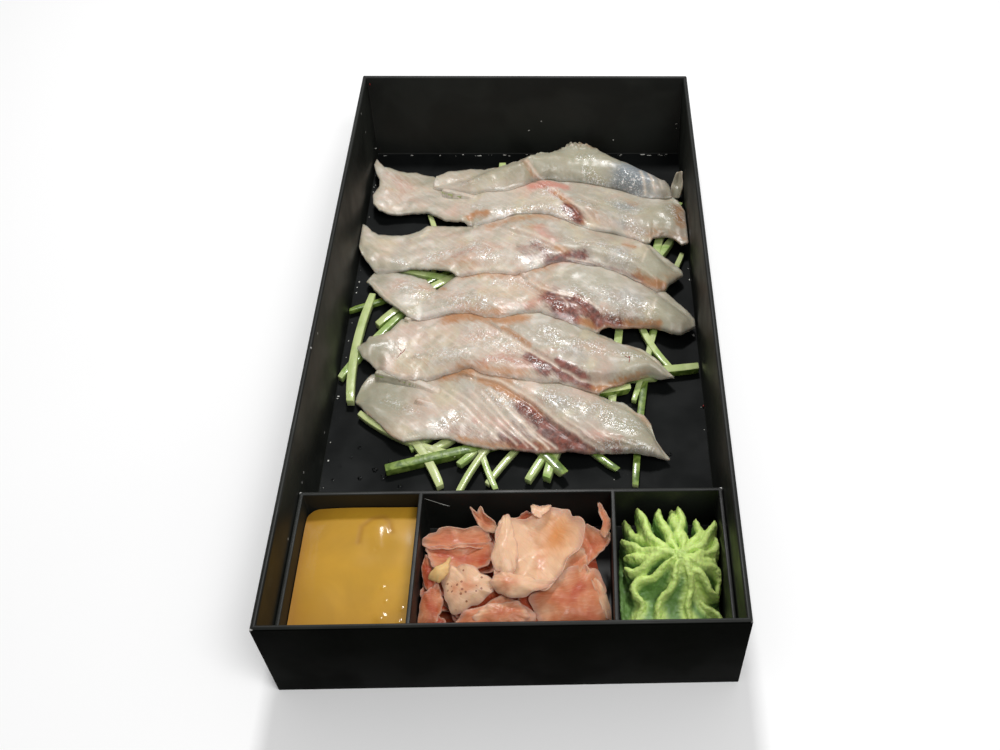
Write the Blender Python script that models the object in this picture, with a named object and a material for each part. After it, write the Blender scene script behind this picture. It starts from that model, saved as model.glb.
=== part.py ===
"""Sashimi tray: an open black card box with a three-pocket insert across its front, holding mustard, pickled
ginger and piped wasabi, and behind it six slices of white fish laid over shredded cucumber.

Metres, +Z up. The origin is on the table, at the middle of the tray's underside. +Y runs along the tray, away
from the insert, and +X runs across it.
"""

import math

import bpy
import numpy as np
from mathutils import Matrix, Vector
from mathutils.bvhtree import BVHTree

mm = 0.001
gap = 0.3 * mm  # air left between pieces that touch

# Tray
tray_width = 150 * mm
tray_length = 280 * mm
tray_height = 42 * mm
floor_thickness = 1.5 * mm
rim_thickness = 1.9 * mm
end_foot_thickness = 6.5 * mm  # the end walls are folded over and lean in towards the floor
rim_segments = 4

# Insert
insert_depth = 53.6 * mm
insert_top = 25 * mm
insert_wall = 1.4 * mm
insert_floor = 1.2 * mm
divider_places = (-31.3 * mm, 34.7 * mm)

# Contents of the insert
mustard_level = 16.4 * mm
mustard_crown = 2.2 * mm
mustard_hook = 1.1 * mm
mustard_corner_dip = 3.5 * mm
mustard_hook_middle = (0.62, 0.72)  # shares of the pocket, from its left front corner
mustard_hook_reach = (0.13, 0.10)
mustard_hook_steps = 9
wasabi_height = 21 * mm
wasabi_arms = 15
wasabi_valley = 0.2  # depth of the valleys as a share of the radius
wasabi_valley_drop = 0.16  # and of the height
wasabi_shortest = 0.10  # how much shorter than the longest arm the shortest is
wasabi_wave = 0.09  # sideways wave of the arms, in radians
wasabi_upright = 0.10  # how far the arms at the back stand up, as a share of the height
wasabi_twist = math.radians(14)
wasabi_lean = (3.5 * mm, 1 * mm)  # where its top sits from the middle of the pocket
ginger_base = 9 * mm  # top of the lowest slices
leaf_flat = 0.75  # a leaf's edge falls from here
leaf_end = 1.3  # to here, in shares of its half size

# Cucumber
stick_width = 3.4 * mm
heap_half_width = 26 * mm
heap_half_length = 78 * mm
heap_height = 6.2 * mm
heap_middle = (0, 28 * mm)

# Fish
flap_thickness = 2.4 * mm
edge_thickness = 1.1 * mm
loin_rise = (0.22, 0.12)  # the loin thickens from this share before the seam to this share after it
tip_start = 0.86  # the loin thins towards its tip from here
tip_thinning = 0.75
end_taper = (0.06, 0.95)  # the slice's two ends are rounded off outside these shares
seam_depth = 1.1 * mm
seam_width = 0.024  # as a share of the slice's length
slice_stations = 24
slice_strips = 8
end_lift_reach = 0.16  # share of the length over which a raised left end comes down
drape_rounds = 5
drape_samples = 7  # a side, in each cell of a slice's grid

floor_top = floor_thickness
inner_half_width = tray_width / 2 - rim_thickness
front_foot = -tray_length / 2 + end_foot_thickness
insert_front = front_foot + gap
insert_back = insert_front + insert_depth
insert_bottom = floor_top + gap
pocket_floor = insert_bottom + insert_floor


def clear_scene():
    for thing in list(bpy.data.objects):
        bpy.data.objects.remove(thing)


def make_material(name, colour, roughness, metallic=0.0):
    material = bpy.data.materials.new(name)
    material.use_nodes = True
    shader = material.node_tree.nodes["Principled BSDF"]
    shader.inputs["Base Color"].default_value = (*colour, 1)
    shader.inputs["Roughness"].default_value = roughness
    shader.inputs["Metallic"].default_value = metallic
    return material


def make_object(name, points, faces, material, smooth=True):
    mesh = bpy.data.meshes.new(name)
    mesh.from_pydata([tuple(p) for p in points], [], faces)
    mesh.update()
    thing = bpy.data.objects.new(name, mesh)
    bpy.context.collection.objects.link(thing)
    mesh.materials.append(material)
    if smooth:
        mesh.shade_smooth()
        mesh.set_sharp_from_angle(angle=math.radians(40))
    return thing


def smoothstep(low, high, value):
    t = min(1.0, max(0.0, (value - low) / (high - low)))
    return t * t * (3 - 2 * t)


def bump(value, middle, width):
    """A bell of height 1 around middle."""
    return math.exp(-(((value - middle) / width) ** 2))


def ring_stack(rings):
    """A closed body from rings of equal length, the first and the last filled."""
    count = len(rings[0])
    points = [p for ring in rings for p in ring]
    faces = [tuple(reversed(range(count)))]
    for level in range(len(rings) - 1):
        low, high = level * count, (level + 1) * count
        for i in range(count):
            j = (i + 1) % count
            faces.append((low + i, low + j, high + j, high + i))
    faces.append(tuple(range((len(rings) - 1) * count, len(rings) * count)))
    return points, faces


def sheet_pair(top, bottom):
    """A closed body between two grids of points that lie over each other."""
    rows, columns = len(top), len(top[0])
    points = [p for grid in (top, bottom) for row in grid for p in row]

    def at(layer, row, column):
        return layer * rows * columns + row * columns + column

    faces = []
    for r in range(rows - 1):
        for c in range(columns - 1):
            faces.append((at(0, r, c), at(0, r + 1, c), at(0, r + 1, c + 1), at(0, r, c + 1)))
            faces.append((at(1, r, c), at(1, r, c + 1), at(1, r + 1, c + 1), at(1, r + 1, c)))
    border = [(r, 0) for r in range(rows)]
    border += [(rows - 1, c) for c in range(1, columns)]
    border += [(r, columns - 1) for r in range(rows - 2, -1, -1)]
    border += [(0, c) for c in range(columns - 2, 0, -1)]
    for (r1, c1), (r2, c2) in zip(border, border[1:] + border[:1]):
        faces.append((at(0, r1, c1), at(1, r1, c1), at(1, r2, c2), at(0, r2, c2)))
    return points, faces


# Tray and insert


def build_tray(material):
    """The card box: upright outside, a rounded rim, even side walls and end walls that lean in."""
    half_x, half_y = tray_width / 2, tray_length / 2
    radius = rim_thickness / 2

    def corners(x, y, z):
        return [(-x, -y, z), (x, -y, z), (x, y, z), (-x, y, z)]

    rings = [corners(half_x, half_y, 0)]
    for step in range(rim_segments + 1):
        turn = math.pi * step / rim_segments
        inset = radius * (1 - math.cos(turn))
        z = tray_height - radius + radius * math.sin(turn)
        rings.append(corners(half_x - inset, half_y - inset, z))
    rings.append(corners(inner_half_width, half_y - end_foot_thickness, floor_top))
    return make_object("tray", *ring_stack(rings), material)


def make_box(name, x0, x1, y0, y1, z0, z1):
    bpy.ops.mesh.primitive_cube_add(size=1)
    box = bpy.context.object
    box.name = name
    size = Matrix.Diagonal((x1 - x0, y1 - y0, z1 - z0, 1))
    box.data.transform(Matrix.Translation(((x0 + x1) / 2, (y0 + y1) / 2, (z0 + z1) / 2)) @ size)
    return box


def make_guide(thing):
    thing.hide_render = True
    thing.display_type = "WIRE"


def pocket_bounds(number, clearance=0.0):
    """The inside of a pocket: low x, high x, low y, high y."""
    half_x = inner_half_width - gap
    edges = [-half_x, *divider_places, half_x]
    left_wall = insert_wall if number == 0 else insert_wall / 2
    right_wall = insert_wall if number == 2 else insert_wall / 2
    return (
        edges[number] + left_wall + clearance,
        edges[number + 1] - right_wall - clearance,
        insert_front + insert_wall + clearance,
        insert_back - insert_wall - clearance,
    )


def build_insert(material):
    """One block with three pockets cut into it from above."""
    half_x = inner_half_width - gap
    block = make_box("insert", -half_x, half_x, insert_front, insert_back, insert_bottom, insert_top)
    block.data.materials.append(material)
    for number in range(3):
        name = f"pocket_cutter_{number + 1}"
        cutter = make_box(name, *pocket_bounds(number), pocket_floor, tray_height)
        make_guide(cutter)
        cut = block.modifiers.new(name, "BOOLEAN")
        cut.operation = "DIFFERENCE"
        cut.object = cutter
    return block


def pocket_filling(name, number, height, material, columns, rows):
    """A body that fills a pocket wall to wall, its top given by height(u, v) with u and v from 0 to 1."""
    x0, x1, y0, y1 = pocket_bounds(number, gap)
    top, bottom = [], []
    for c in range(columns + 1):
        u = c / columns
        x = x0 + (x1 - x0) * u
        ys = [y0 + (y1 - y0) * r / rows for r in range(rows + 1)]
        top.append([(x, y, height(u, r / rows)) for r, y in enumerate(ys)])
        bottom.append([(x, y, pocket_floor + gap) for y in ys])
    return make_object(name, *sheet_pair(top, bottom), material)


def build_mustard(material):
    """Smooth and slightly domed, with the hooked ridge that the spoon left near the back."""

    def height(u, v):
        dome = mustard_crown * (math.sin(math.pi * u) * math.sin(math.pi * v)) ** 0.6
        hook = 0.0
        for step in range(mustard_hook_steps):
            turn = math.radians(200 - 25 * step)
            hook_u = mustard_hook_middle[0] + mustard_hook_reach[0] * math.cos(turn)
            hook_v = mustard_hook_middle[1] + mustard_hook_reach[1] * math.sin(turn)
            fade = 1 - step / 14  # the ridge runs out towards its end
            hook = max(hook, bump(u, hook_u, 0.07) * bump(v, hook_v, 0.06) * fade)
        corner = mustard_corner_dip * bump(u, 0, 0.16) * bump(v, 1, 0.10)
        return mustard_level + dome + mustard_hook * hook - corner

    return pocket_filling("mustard", 0, height, material, 14, 18)


# Ginger leaves: middle x and y in mm, half length and half width in mm, turn in degrees,
# height of the leaf's middle, and how far it rises along and across itself, in mm
ginger_leaves = [
    (9, -102, 16, 18, -10, 21.5, 1.5, 2.0),
    (-18, -97, 15, 9, 8, 15.0, -1.0, 1.5),
    (-16, -113, 15, 11, -14, 18.0, 1.0, -1.0),
    (20, -121, 15, 11, 12, 15.0, -1.0, 1.5),
    (-4, -127, 17, 7, 6, 14.0, 1.0, 1.0),
    (27, -103, 7, 14, 14, 16.5, 1.0, 2.0),
    (-8, -90, 5, 8, 35, 17.5, 0.5, 2.5),
    (-27, -123, 6, 9, 0, 13.0, 0.0, 1.0),
]


def build_ginger(material):
    """A heap of thin folded slices: each is a tilted leaf with a steep edge, and the highest one shows."""
    x0, x1, y0, y1 = pocket_bounds(1, gap)

    def height(u, v):
        x, y = x0 + (x1 - x0) * u, y0 + (y1 - y0) * v
        highest = ginger_base
        for mid_x, mid_y, half_x, half_y, turn, rise, along, across in ginger_leaves:
            a = math.radians(turn)
            dx, dy = x - mid_x * mm, y - mid_y * mm
            p = (dx * math.cos(a) + dy * math.sin(a)) / (half_x * mm)
            q = (dy * math.cos(a) - dx * math.sin(a)) / (half_y * mm)
            spread = math.hypot(p, q)
            fold = along * p + across * q + 0.8 * math.cos(4 * p + mid_x)
            above = (rise + fold) * mm - ginger_base
            leaf = ginger_base + above * (1 - smoothstep(leaf_flat, leaf_end, spread))
            if spread < leaf_end:
                highest = max(highest, leaf)
        return highest

    return pocket_filling("ginger", 1, height, material, 24, 20)


def build_wasabi(material):
    """A piped rosette: wavy arms run out from the middle, and those at the back stand up at their ends."""
    x0, x1, y0, y1 = pocket_bounds(2, gap)
    middle_x, middle_y = (x0 + x1) / 2, (y0 + y1) / 2
    half_x, half_y = (x1 - x0) / 2, (y1 - y0) / 2
    per_arm = 4
    base = pocket_floor + gap
    profile = [  # share of the radius, share of the height, how deep the valleys between the arms are
        (0.90, 0.0, 0.35),
        (0.98, 0.40, 0.9),
        (0.96, 0.66, 1.0),
        (0.78, 0.83, 0.9),
        (0.55, 0.91, 0.7),
        (0.33, 0.96, 0.4),
        (0.14, 1.0, 0.1),
    ]
    rings = []
    for share, level, depth in profile:
        ring = []
        for i in range(wasabi_arms * per_arm):
            arm = round(i / per_arm) % wasabi_arms
            angle = 2 * math.pi * i / (wasabi_arms * per_arm)
            ridge = 0.5 + 0.5 * math.cos(2 * math.pi * i / per_arm)
            valley = 1 - ridge**0.7
            shorter = wasabi_shortest * ((arm * 5) % 4) / 3
            reach = share * (1 - shorter) * (1 - depth * wasabi_valley * valley)
            turn = angle + wasabi_twist * (1 - share) + wasabi_wave * math.sin(9 * share + 2.4 * arm)
            square = (abs(math.cos(turn)) ** 3 + abs(math.sin(turn)) ** 3) ** (-1 / 3)
            x = middle_x + half_x * reach * square * math.cos(turn) + wasabi_lean[0] * (1 - share)
            y = middle_y + half_y * reach * square * math.sin(turn) + wasabi_lean[1] * (1 - share)
            upright = wasabi_upright * max(0.0, math.sin(turn)) * share * ridge
            drop = 1 - wasabi_valley_drop * depth * valley
            rise = (level + upright * (level > 0)) * drop * wasabi_height
            ring.append((min(x1, max(x0, x)), min(y1, max(y0, y)), base + rise))
        rings.append(ring)
    return make_object("wasabi", *ring_stack(rings), material)


# Cucumber

# Sticks that show from under the fish: outer end in mm, the way they point in degrees, and length in mm
cucumber_sticks = [
    (-41, -46, 32, 34),
    (-38, -51, 40, 36),
    (-49, -56, 15, 62),
    (-22, -54, 56, 34),
    (-28, -64, 119, 26),
    (-11, -63, 52, 44),
    (4, -62, 61, 42),
    (11, -61, 66, 40),
    (44, -64, 82, 84),
    (36, -28, 84, 48),
    (45, -24, 75, 45),
    (28, -25, 62, 30),
    (72, -7, 183, 42),
    (61, -8, 112, 34),
    (66, 69, 238, 44),
    (70, 60, 240, 50),
    (66, 24, 160, 44),
    (71, 93, 252, 46),
    (-62, -29, -28, 44),
    (-66, -24, 88, 58),
    (-74, 26, 30, 50),
    (-72, -11, 58, 48),
    (-60, 17, 42, 46),
    (-62, 4, 20, 46),
    (-56, 51, -14, 48),
    (-44, 86, -84, 40),
    (-39, 75, 7, 40),
    (-12, 121, -88, 40),
    (-30, 42, -40, 30),
]


def build_cucumber(material):
    """A low heap of shredded cucumber with sticks lying out of it all round."""
    middle_x, middle_y = heap_middle
    bottom_z = floor_top + gap
    rows, columns = 22, 10
    top, bottom = [], []
    for c in range(columns + 1):
        top_row, bottom_row = [], []
        for r in range(rows + 1):
            p, q = 2 * c / columns - 1, 2 * r / rows - 1
            # takes the square grid to a disc, so that the heap's outline is round
            x = middle_x + heap_half_width * p * math.sqrt(1 - q * q / 2)
            y = middle_y + heap_half_length * q * math.sqrt(1 - p * p / 2)
            spread = min(1.0, p * p + q * q - p * p * q * q)
            strands = 0.5 * math.sin(300 * x + 190 * y) + 0.5 * math.sin(420 * y - 260 * x)
            rise = heap_height * (1 - spread**2) + 0.5 * mm * strands * (1 - spread)
            top_row.append((x, y, bottom_z + 1.2 * mm + rise))
            bottom_row.append((x, y, bottom_z))
        top.append(top_row)
        bottom.append(bottom_row)
    heap = make_object("cucumber", *sheet_pair(top, bottom), material, smooth=False)

    sticks = bpy.data.collections.new("cucumber_sticks")
    bpy.context.scene.collection.children.link(sticks)
    for number, (x, y, heading, length) in enumerate(cucumber_sticks):
        width = stick_width * (0.8 + 0.4 * ((number * 7) % 5) / 4)
        height = width * (0.85 + 0.05 * (number % 4))
        turn = math.radians(heading)
        ahead = Vector((math.cos(turn), math.sin(turn), 0))
        aside = Vector((-math.sin(turn), math.cos(turn), 0)) * width / 2
        start = Vector((x * mm, y * mm, bottom_z + 0.11 * mm * (number % 7)))
        limit = inner_half_width - gap
        start.x = min(limit - abs(aside.x), max(abs(aside.x) - limit, start.x))
        end = start + ahead * length * mm
        rings = []
        for place in (start, end):
            rings.append([place + aside, place - aside, place - aside, place + aside])
            rings[-1][2] = rings[-1][2] + Vector((0, 0, height))
            rings[-1][3] = rings[-1][3] + Vector((0, 0, height))
        stick = make_object(f"stick_{number + 1}", *ring_stack(rings), material, smooth=False)
        bpy.context.collection.objects.unlink(stick)
        sticks.objects.link(stick)
        make_guide(stick)
    join = heap.modifiers.new("sticks", "BOOLEAN")
    join.operation = "UNION"
    join.operand_type = "COLLECTION"
    join.collection = sticks
    return heap


# Fish

# Each slice: its two long edges from left to right in mm, its seam, the thickness of its loin in mm, where
# across the slice it is thickest, and how far its ends ride up the walls in mm. The seam runs from the back
# edge to the front edge, at these shares of the slice's length.
fish_slices = {
    "slice_1": dict(
        back=[
            (-44, 106), (-26, 110), (-12, 114), (0, 120), (12, 126), (22, 131),
            (33, 129), (42, 122), (53, 114), (64, 104), (72, 105),
        ],
        front=[
            (-43, 102), (-33, 98), (-18, 97), (-4, 100), (10, 105), (20, 105),
            (32, 104), (43, 100), (54, 94), (64, 92), (72, 98),
        ],
        seam=(0.30, 0.42),
        loin=11,
        crest=0.6,
        lift=(0, 5),
    ),
    "slice_2": dict(
        back=[
            (-72, 121), (-60, 115), (-48, 109), (-36, 105), (-20, 104), (0, 108),
            (20, 110), (40, 106), (56, 98), (67, 90), (72, 82),
        ],
        front=[
            (-70, 92), (-64, 82), (-50, 81), (-36, 77), (-16, 75), (4, 78),
            (22, 74), (40, 69), (56, 65), (66, 65), (72, 66),
        ],
        seam=(0.56, 0.70),
        loin=7,
        crest=0.5,
        lift=(5, 2),
    ),
    "slice_3": dict(
        back=[
            (-72, 75), (-66, 71), (-58, 66), (-44, 69), (-30, 71), (-14, 78),
            (6, 82), (26, 78), (42, 72), (54, 62), (62, 48), (69, 43),
        ],
        front=[
            (-72, 64), (-69, 54), (-61, 45), (-49, 47), (-36, 46), (-22, 42),
            (-4, 42), (12, 43), (28, 46), (44, 41), (58, 34), (70, 36),
        ],
        seam=(0.50, 0.70),
        loin=7,
        crest=0.5,
        lift=(5, 0),
    ),
    "slice_4": dict(
        back=[
            (-66, 43), (-58, 44), (-46, 42), (-37, 36), (-28, 44), (-10, 48),
            (8, 49), (26, 50), (40, 46), (52, 37), (62, 26), (72, 13),
        ],
        front=[
            (-67, 38), (-58, 28), (-47, 17), (-34, 18), (-22, 18), (-8, 12),
            (6, 15), (20, 13), (36, 12), (52, 12), (62, 7), (72, 8),
        ],
        seam=(0.48, 0.76),
        loin=7.5,
        crest=0.5,
        lift=(0, 2),
    ),
    "slice_5": dict(
        back=[
            (-66, 4), (-58, 9), (-50, 16), (-38, 20), (-24, 23), (-8, 19),
            (8, 20), (22, 16), (33, 7), (46, 1), (54, -7), (61, -17),
        ],
        front=[
            (-66, 0), (-56, -9), (-44, -15), (-32, -13), (-20, -14), (-8, -18),
            (4, -23), (16, -22), (28, -22), (40, -19), (52, -16), (61, -19),
        ],
        seam=(0.47, 0.73),
        loin=7.5,
        crest=0.5,
        lift=(0, 0),
    ),
    "slice_6": dict(
        back=[
            (-63, -20), (-58, -12), (-48, -10), (-34, -8), (-20, -8), (-6, -14),
            (8, -17), (22, -18), (34, -26), (46, -33), (52, -44), (57, -55),
        ],
        front=[
            (-62, -27), (-56, -33), (-49, -40), (-42, -46), (-32, -44), (-22, -45),
            (-12, -50), (2, -52), (16, -53), (32, -54), (46, -55), (57, -57),
        ],
        seam=(0.40, 0.74),
        loin=7,
        crest=0.5,
        lift=(0, 0),
    ),
}


def spline_through(points, count):
    """Points evenly spaced along a smooth curve through the given ones."""
    known = [Vector((x * mm, y * mm, 0)) for x, y in points]
    padded = [2 * known[0] - known[1], *known, 2 * known[-1] - known[-2]]
    fine = []
    for a, b, c, d in zip(padded, padded[1:], padded[2:], padded[3:]):
        for step in range(8):
            t = step / 8
            bend = 2 * a - 5 * b + 4 * c - d
            twist = 3 * b - a - 3 * c + d
            fine.append((2 * b + (c - a) * t + bend * t**2 + twist * t**3) / 2)
    fine.append(known[-1])
    along = [0.0]
    for p, q in zip(fine, fine[1:]):
        along.append(along[-1] + (q - p).length)
    wanted = np.linspace(0, along[-1], count)
    xs = np.interp(wanted, along, [p.x for p in fine])
    ys = np.interp(wanted, along, [p.y for p in fine])
    return list(zip(xs, ys))


def support_height(laid, x, y):
    """The highest thing at (x, y): the tray's floor or whatever is laid there already."""
    highest = floor_top
    for tree in laid:
        hit = tree.ray_cast(Vector((x, y, tray_height)), Vector((0, 0, -1)))[0]
        if hit is not None:
            highest = max(highest, hit.z)
    return highest


def support_under(laid, plan):
    """For each corner of the plan's grid, the highest thing under any cell that meets there."""
    rows, columns = len(plan), len(plan[0])
    highest = np.full((rows, columns), floor_top)
    shares = np.linspace(-0.1, 1.1, drape_samples)
    for r in range(rows - 1):
        for c in range(columns - 1):
            a, b = np.array(plan[r][c]), np.array(plan[r + 1][c])
            d, e = np.array(plan[r][c + 1]), np.array(plan[r + 1][c + 1])
            cell = floor_top
            for p in shares:
                for q in shares:
                    x, y = (a * (1 - p) + b * p) * (1 - q) + (d * (1 - p) + e * p) * q
                    cell = max(cell, support_height(laid, x, y))
            highest[r : r + 2, c : c + 2] = np.maximum(highest[r : r + 2, c : c + 2], cell)
    return highest


def draped_underside(laid, plan, lift):
    """A soft sheet over what is laid: it never sinks below it, and it spans its hollows in a smooth curve."""
    support = support_under(laid, plan)
    height = support.copy()
    for _ in range(drape_rounds):
        wide = np.pad(height, 1, mode="edge")
        around = (wide[:-2, 1:-1] + wide[2:, 1:-1] + wide[1:-1, :-2] + wide[1:-1, 2:]) / 4
        height = np.maximum(support, around)
    stations = np.linspace(0, 1, len(plan))
    left = np.array([(1 - smoothstep(0, end_lift_reach, s)) * lift[0] * mm for s in stations])
    right = np.array([smoothstep(0.88, 1, s) * lift[1] * mm for s in stations])
    return height + gap + (left + right)[:, None]


def slice_thickness(s, v, loin, seam, crest):
    """Thin at the tail flap, thick and round along the loin, with a crease where the two meet."""
    seam_s = seam[0] + (seam[1] - seam[0]) * (1 - v)
    rising = smoothstep(seam_s - loin_rise[0], seam_s + loin_rise[1], s)
    body = rising * (1 - smoothstep(tip_start, 1.0, s) * tip_thinning)
    full = flap_thickness + (loin * mm - flap_thickness) * body
    across = max(0.0, math.sin(math.pi * v ** (math.log(0.5) / math.log(crest)))) ** 0.6
    ends = smoothstep(0, end_taper[0], s) * (1 - smoothstep(end_taper[1], 1.0, s))
    crease = seam_depth * bump(s, seam_s, seam_width)
    rounded = edge_thickness + (full - edge_thickness) * across * (0.25 + 0.75 * ends)
    return max(edge_thickness, rounded - crease * across)


def build_slice(name, plan, laid, material):
    limit = inner_half_width - gap - 0.2 * mm
    back = spline_through(plan["back"], slice_stations + 1)
    front = spline_through(plan["front"], slice_stations + 1)
    grid = []
    for (bx, by), (fx, fy) in zip(back, front):
        row = []
        for step in range(slice_strips + 1):
            v = step / slice_strips
            x = fx + (bx - fx) * v
            row.append((min(limit, max(-limit, x)), fy + (by - fy) * v))
        grid.append(row)
    underside = draped_underside(laid, grid, plan["lift"])
    top, bottom = [], []
    for i, row in enumerate(grid):
        s = i / slice_stations
        top_row, bottom_row = [], []
        for j, (x, y) in enumerate(row):
            thickness = slice_thickness(s, j / slice_strips, plan["loin"], plan["seam"], plan["crest"])
            top_row.append((x, y, underside[i][j] + thickness))
            bottom_row.append((x, y, underside[i][j]))
        top.append(top_row)
        bottom.append(bottom_row)
    return make_object(name, *sheet_pair(top, bottom), material)


def tree_of(thing):
    bpy.context.view_layer.update()
    return BVHTree.FromObject(thing, bpy.context.evaluated_depsgraph_get())


def main():
    clear_scene()
    card = make_material("black_card", (0.010, 0.011, 0.012), 0.38)
    mustard = make_material("mustard", (0.62, 0.34, 0.06), 0.2)
    ginger = make_material("pickled_ginger", (0.80, 0.38, 0.26), 0.35)
    wasabi = make_material("wasabi", (0.24, 0.48, 0.10), 0.5)
    cucumber = make_material("cucumber", (0.36, 0.55, 0.16), 0.35)
    fish = make_material("white_fish", (0.72, 0.60, 0.50), 0.25)

    build_tray(card)
    build_insert(card)
    build_mustard(mustard)
    build_ginger(ginger)
    build_wasabi(wasabi)
    laid = [tree_of(build_cucumber(cucumber))]
    # the slice nearest the insert is laid first, and each later one lies over the back edge of the last
    for name in reversed(fish_slices):
        laid.append(tree_of(build_slice(name, fish_slices[name], laid, fish)))


main()
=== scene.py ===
import math
import random

import bpy
import numpy as np
from mathutils import Matrix, Vector, noise
from mathutils.bvhtree import BVHTree


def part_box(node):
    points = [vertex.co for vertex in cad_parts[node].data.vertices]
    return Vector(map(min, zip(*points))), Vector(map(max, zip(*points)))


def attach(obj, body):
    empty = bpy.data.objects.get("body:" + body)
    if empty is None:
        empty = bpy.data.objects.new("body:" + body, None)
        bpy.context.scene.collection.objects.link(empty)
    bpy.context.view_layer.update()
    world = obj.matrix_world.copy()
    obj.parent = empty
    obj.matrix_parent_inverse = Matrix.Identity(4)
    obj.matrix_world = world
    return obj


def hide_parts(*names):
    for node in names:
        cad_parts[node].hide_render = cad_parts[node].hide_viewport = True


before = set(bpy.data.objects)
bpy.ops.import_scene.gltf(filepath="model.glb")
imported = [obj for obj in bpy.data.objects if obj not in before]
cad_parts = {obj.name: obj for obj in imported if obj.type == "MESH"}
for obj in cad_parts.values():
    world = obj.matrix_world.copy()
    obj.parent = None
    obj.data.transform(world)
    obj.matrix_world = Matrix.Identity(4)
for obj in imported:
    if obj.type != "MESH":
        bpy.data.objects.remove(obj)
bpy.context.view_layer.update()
mm = 0.001
dice = random.Random(7)


# camera, floor and light

cameraLook = {
    "place": (22.46, -291.56, 336.97),  # mm
    "yaw": 3.02,  # degrees towards +X
    "pitch": 49.80,  # degrees below level
    "roll": 1.84,
    "lens": 39.0,
    "shift": -0.1133,
}
lightLook = {
    "sky": (1.0, 1.0, 1.0),
    "skyStrength": 0.40,
    "keyPlace": (-0.02, 0.42, 0.74),  # m
    "keySize": 0.10,
    "keyPower": 3.6,
    "fillPlace": (0.30, -0.40, 0.80),
    "fillSize": 0.35,
    "fillPower": 3.4,
}


def addCamera(look):
    data = bpy.data.cameras.new("tableCamera")
    data.lens = look["lens"]
    data.sensor_width = 36
    data.shift_x = look["shift"]
    data.clip_start = 0.01
    camera = bpy.data.objects.new("tableCamera", data)
    bpy.context.scene.collection.objects.link(camera)
    turn = Matrix.Rotation(math.radians(-look["yaw"]), 4, "Z")
    tip = Matrix.Rotation(math.radians(90 - look["pitch"]), 4, "X")
    roll = Matrix.Rotation(math.radians(look["roll"]), 4, "Z")
    camera.matrix_world = Matrix.Translation(Vector(look["place"]) * mm) @ turn @ tip @ roll
    bpy.context.scene.camera = camera


def addPanelLight(name, place, size, power, aim=(0, 0, 0.02)):
    data = bpy.data.lights.new(name, "AREA")
    data.size = size
    data.energy = power
    lamp = bpy.data.objects.new(name, data)
    bpy.context.scene.collection.objects.link(lamp)
    lamp.location = place
    lamp.rotation_euler = (Vector(aim) - Vector(place)).to_track_quat("-Z", "Y").to_euler()


def setLights(look):
    scene = bpy.context.scene
    world = bpy.data.worlds.new("studio")
    world.use_nodes = True
    sky = world.node_tree.nodes["Background"]
    sky.inputs["Color"].default_value = (*look["sky"], 1)
    sky.inputs["Strength"].default_value = look["skyStrength"]
    scene.world = world
    scene.view_settings.view_transform = "Standard"
    addPanelLight("keyPanel", look["keyPlace"], look["keySize"], look["keyPower"])
    addPanelLight("fillPanel", look["fillPlace"], look["fillSize"], look["fillPower"])


# shared shader groups

def newGroup(name, inputs, outputs):
    group = bpy.data.node_groups.new(name, "ShaderNodeTree")
    for label, value in inputs.items():
        kind = "Float" if isinstance(value, float) else "Vector" if len(value) == 3 else "Color"
        socket = group.interface.new_socket(name=label, in_out="INPUT", socket_type="NodeSocket" + kind)
        socket.default_value = value
    for label, kind in outputs.items():
        group.interface.new_socket(name=label, in_out="OUTPUT", socket_type="NodeSocket" + kind)
    return group, group.nodes.new("NodeGroupInput").outputs, group.nodes.new("NodeGroupOutput").inputs


def connect(tree, value, socket):
    if isinstance(value, bpy.types.NodeSocket):
        tree.links.new(value, socket)
    else:
        socket.default_value = value


def mathNode(tree, operation, a, b=0.0, c=0.0, clamp=False):
    node = tree.nodes.new("ShaderNodeMath")
    node.operation = operation
    node.use_clamp = clamp
    for value, socket in zip((a, b, c), node.inputs):
        connect(tree, value, socket)
    return node.outputs[0]


def rangeNode(tree, value, fromLow, fromHigh, toLow=0.0, toHigh=1.0):
    node = tree.nodes.new("ShaderNodeMapRange")
    node.interpolation_type = "SMOOTHSTEP"
    for label, number in (("Value", value), ("From Min", fromLow), ("From Max", fromHigh),
                          ("To Min", toLow), ("To Max", toHigh)):
        connect(tree, number, node.inputs[label])
    return node.outputs["Result"]


def noiseNode(tree, vector, scale, detail=3.0, distortion=0.0):
    node = tree.nodes.new("ShaderNodeTexNoise")
    connect(tree, vector, node.inputs["Vector"])
    connect(tree, scale, node.inputs["Scale"])
    connect(tree, detail, node.inputs["Detail"])
    connect(tree, distortion, node.inputs["Distortion"])
    return node.outputs["Fac"]


def vectorNode(tree, operation, *values):
    node = tree.nodes.new("ShaderNodeVectorMath")
    node.operation = operation
    for value, socket in zip(values, node.inputs):
        connect(tree, value, socket)
    return node.outputs


def mixColour(tree, factor, a, b):
    node = tree.nodes.new("ShaderNodeMix")
    node.data_type = "RGBA"
    for value, slot in ((factor, 0), (a, 6), (b, 7)):
        connect(tree, value, node.inputs[slot])
    return node.outputs[2]


def tint(tree, colour, mask, share, tone):
    return mixColour(tree, mathNode(tree, "MULTIPLY", mask, share), colour, tone)


def attributeNode(tree, name):
    node = tree.nodes.new("ShaderNodeAttribute")
    node.attribute_name = name
    return node.outputs["Fac"]


def objectPlace(tree):
    return tree.nodes.new("ShaderNodeTexCoord").outputs["Object"]


def useGroup(tree, name, **values):
    node = tree.nodes.new("ShaderNodeGroup")
    node.node_tree = bpy.data.node_groups[name]
    for label, value in values.items():
        connect(tree, value, node.inputs[label])
    return node.outputs


def drift(tree, place, first, second, scale):
    return useGroup(tree, "toneDrift", Vector=place, First=first, Second=second, Scale=scale)["Colour"]


def speckle(tree, place, scale, size, share):
    return useGroup(tree, "specks", Vector=place, Scale=scale, Size=size, Share=share)["Mask"]


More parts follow.
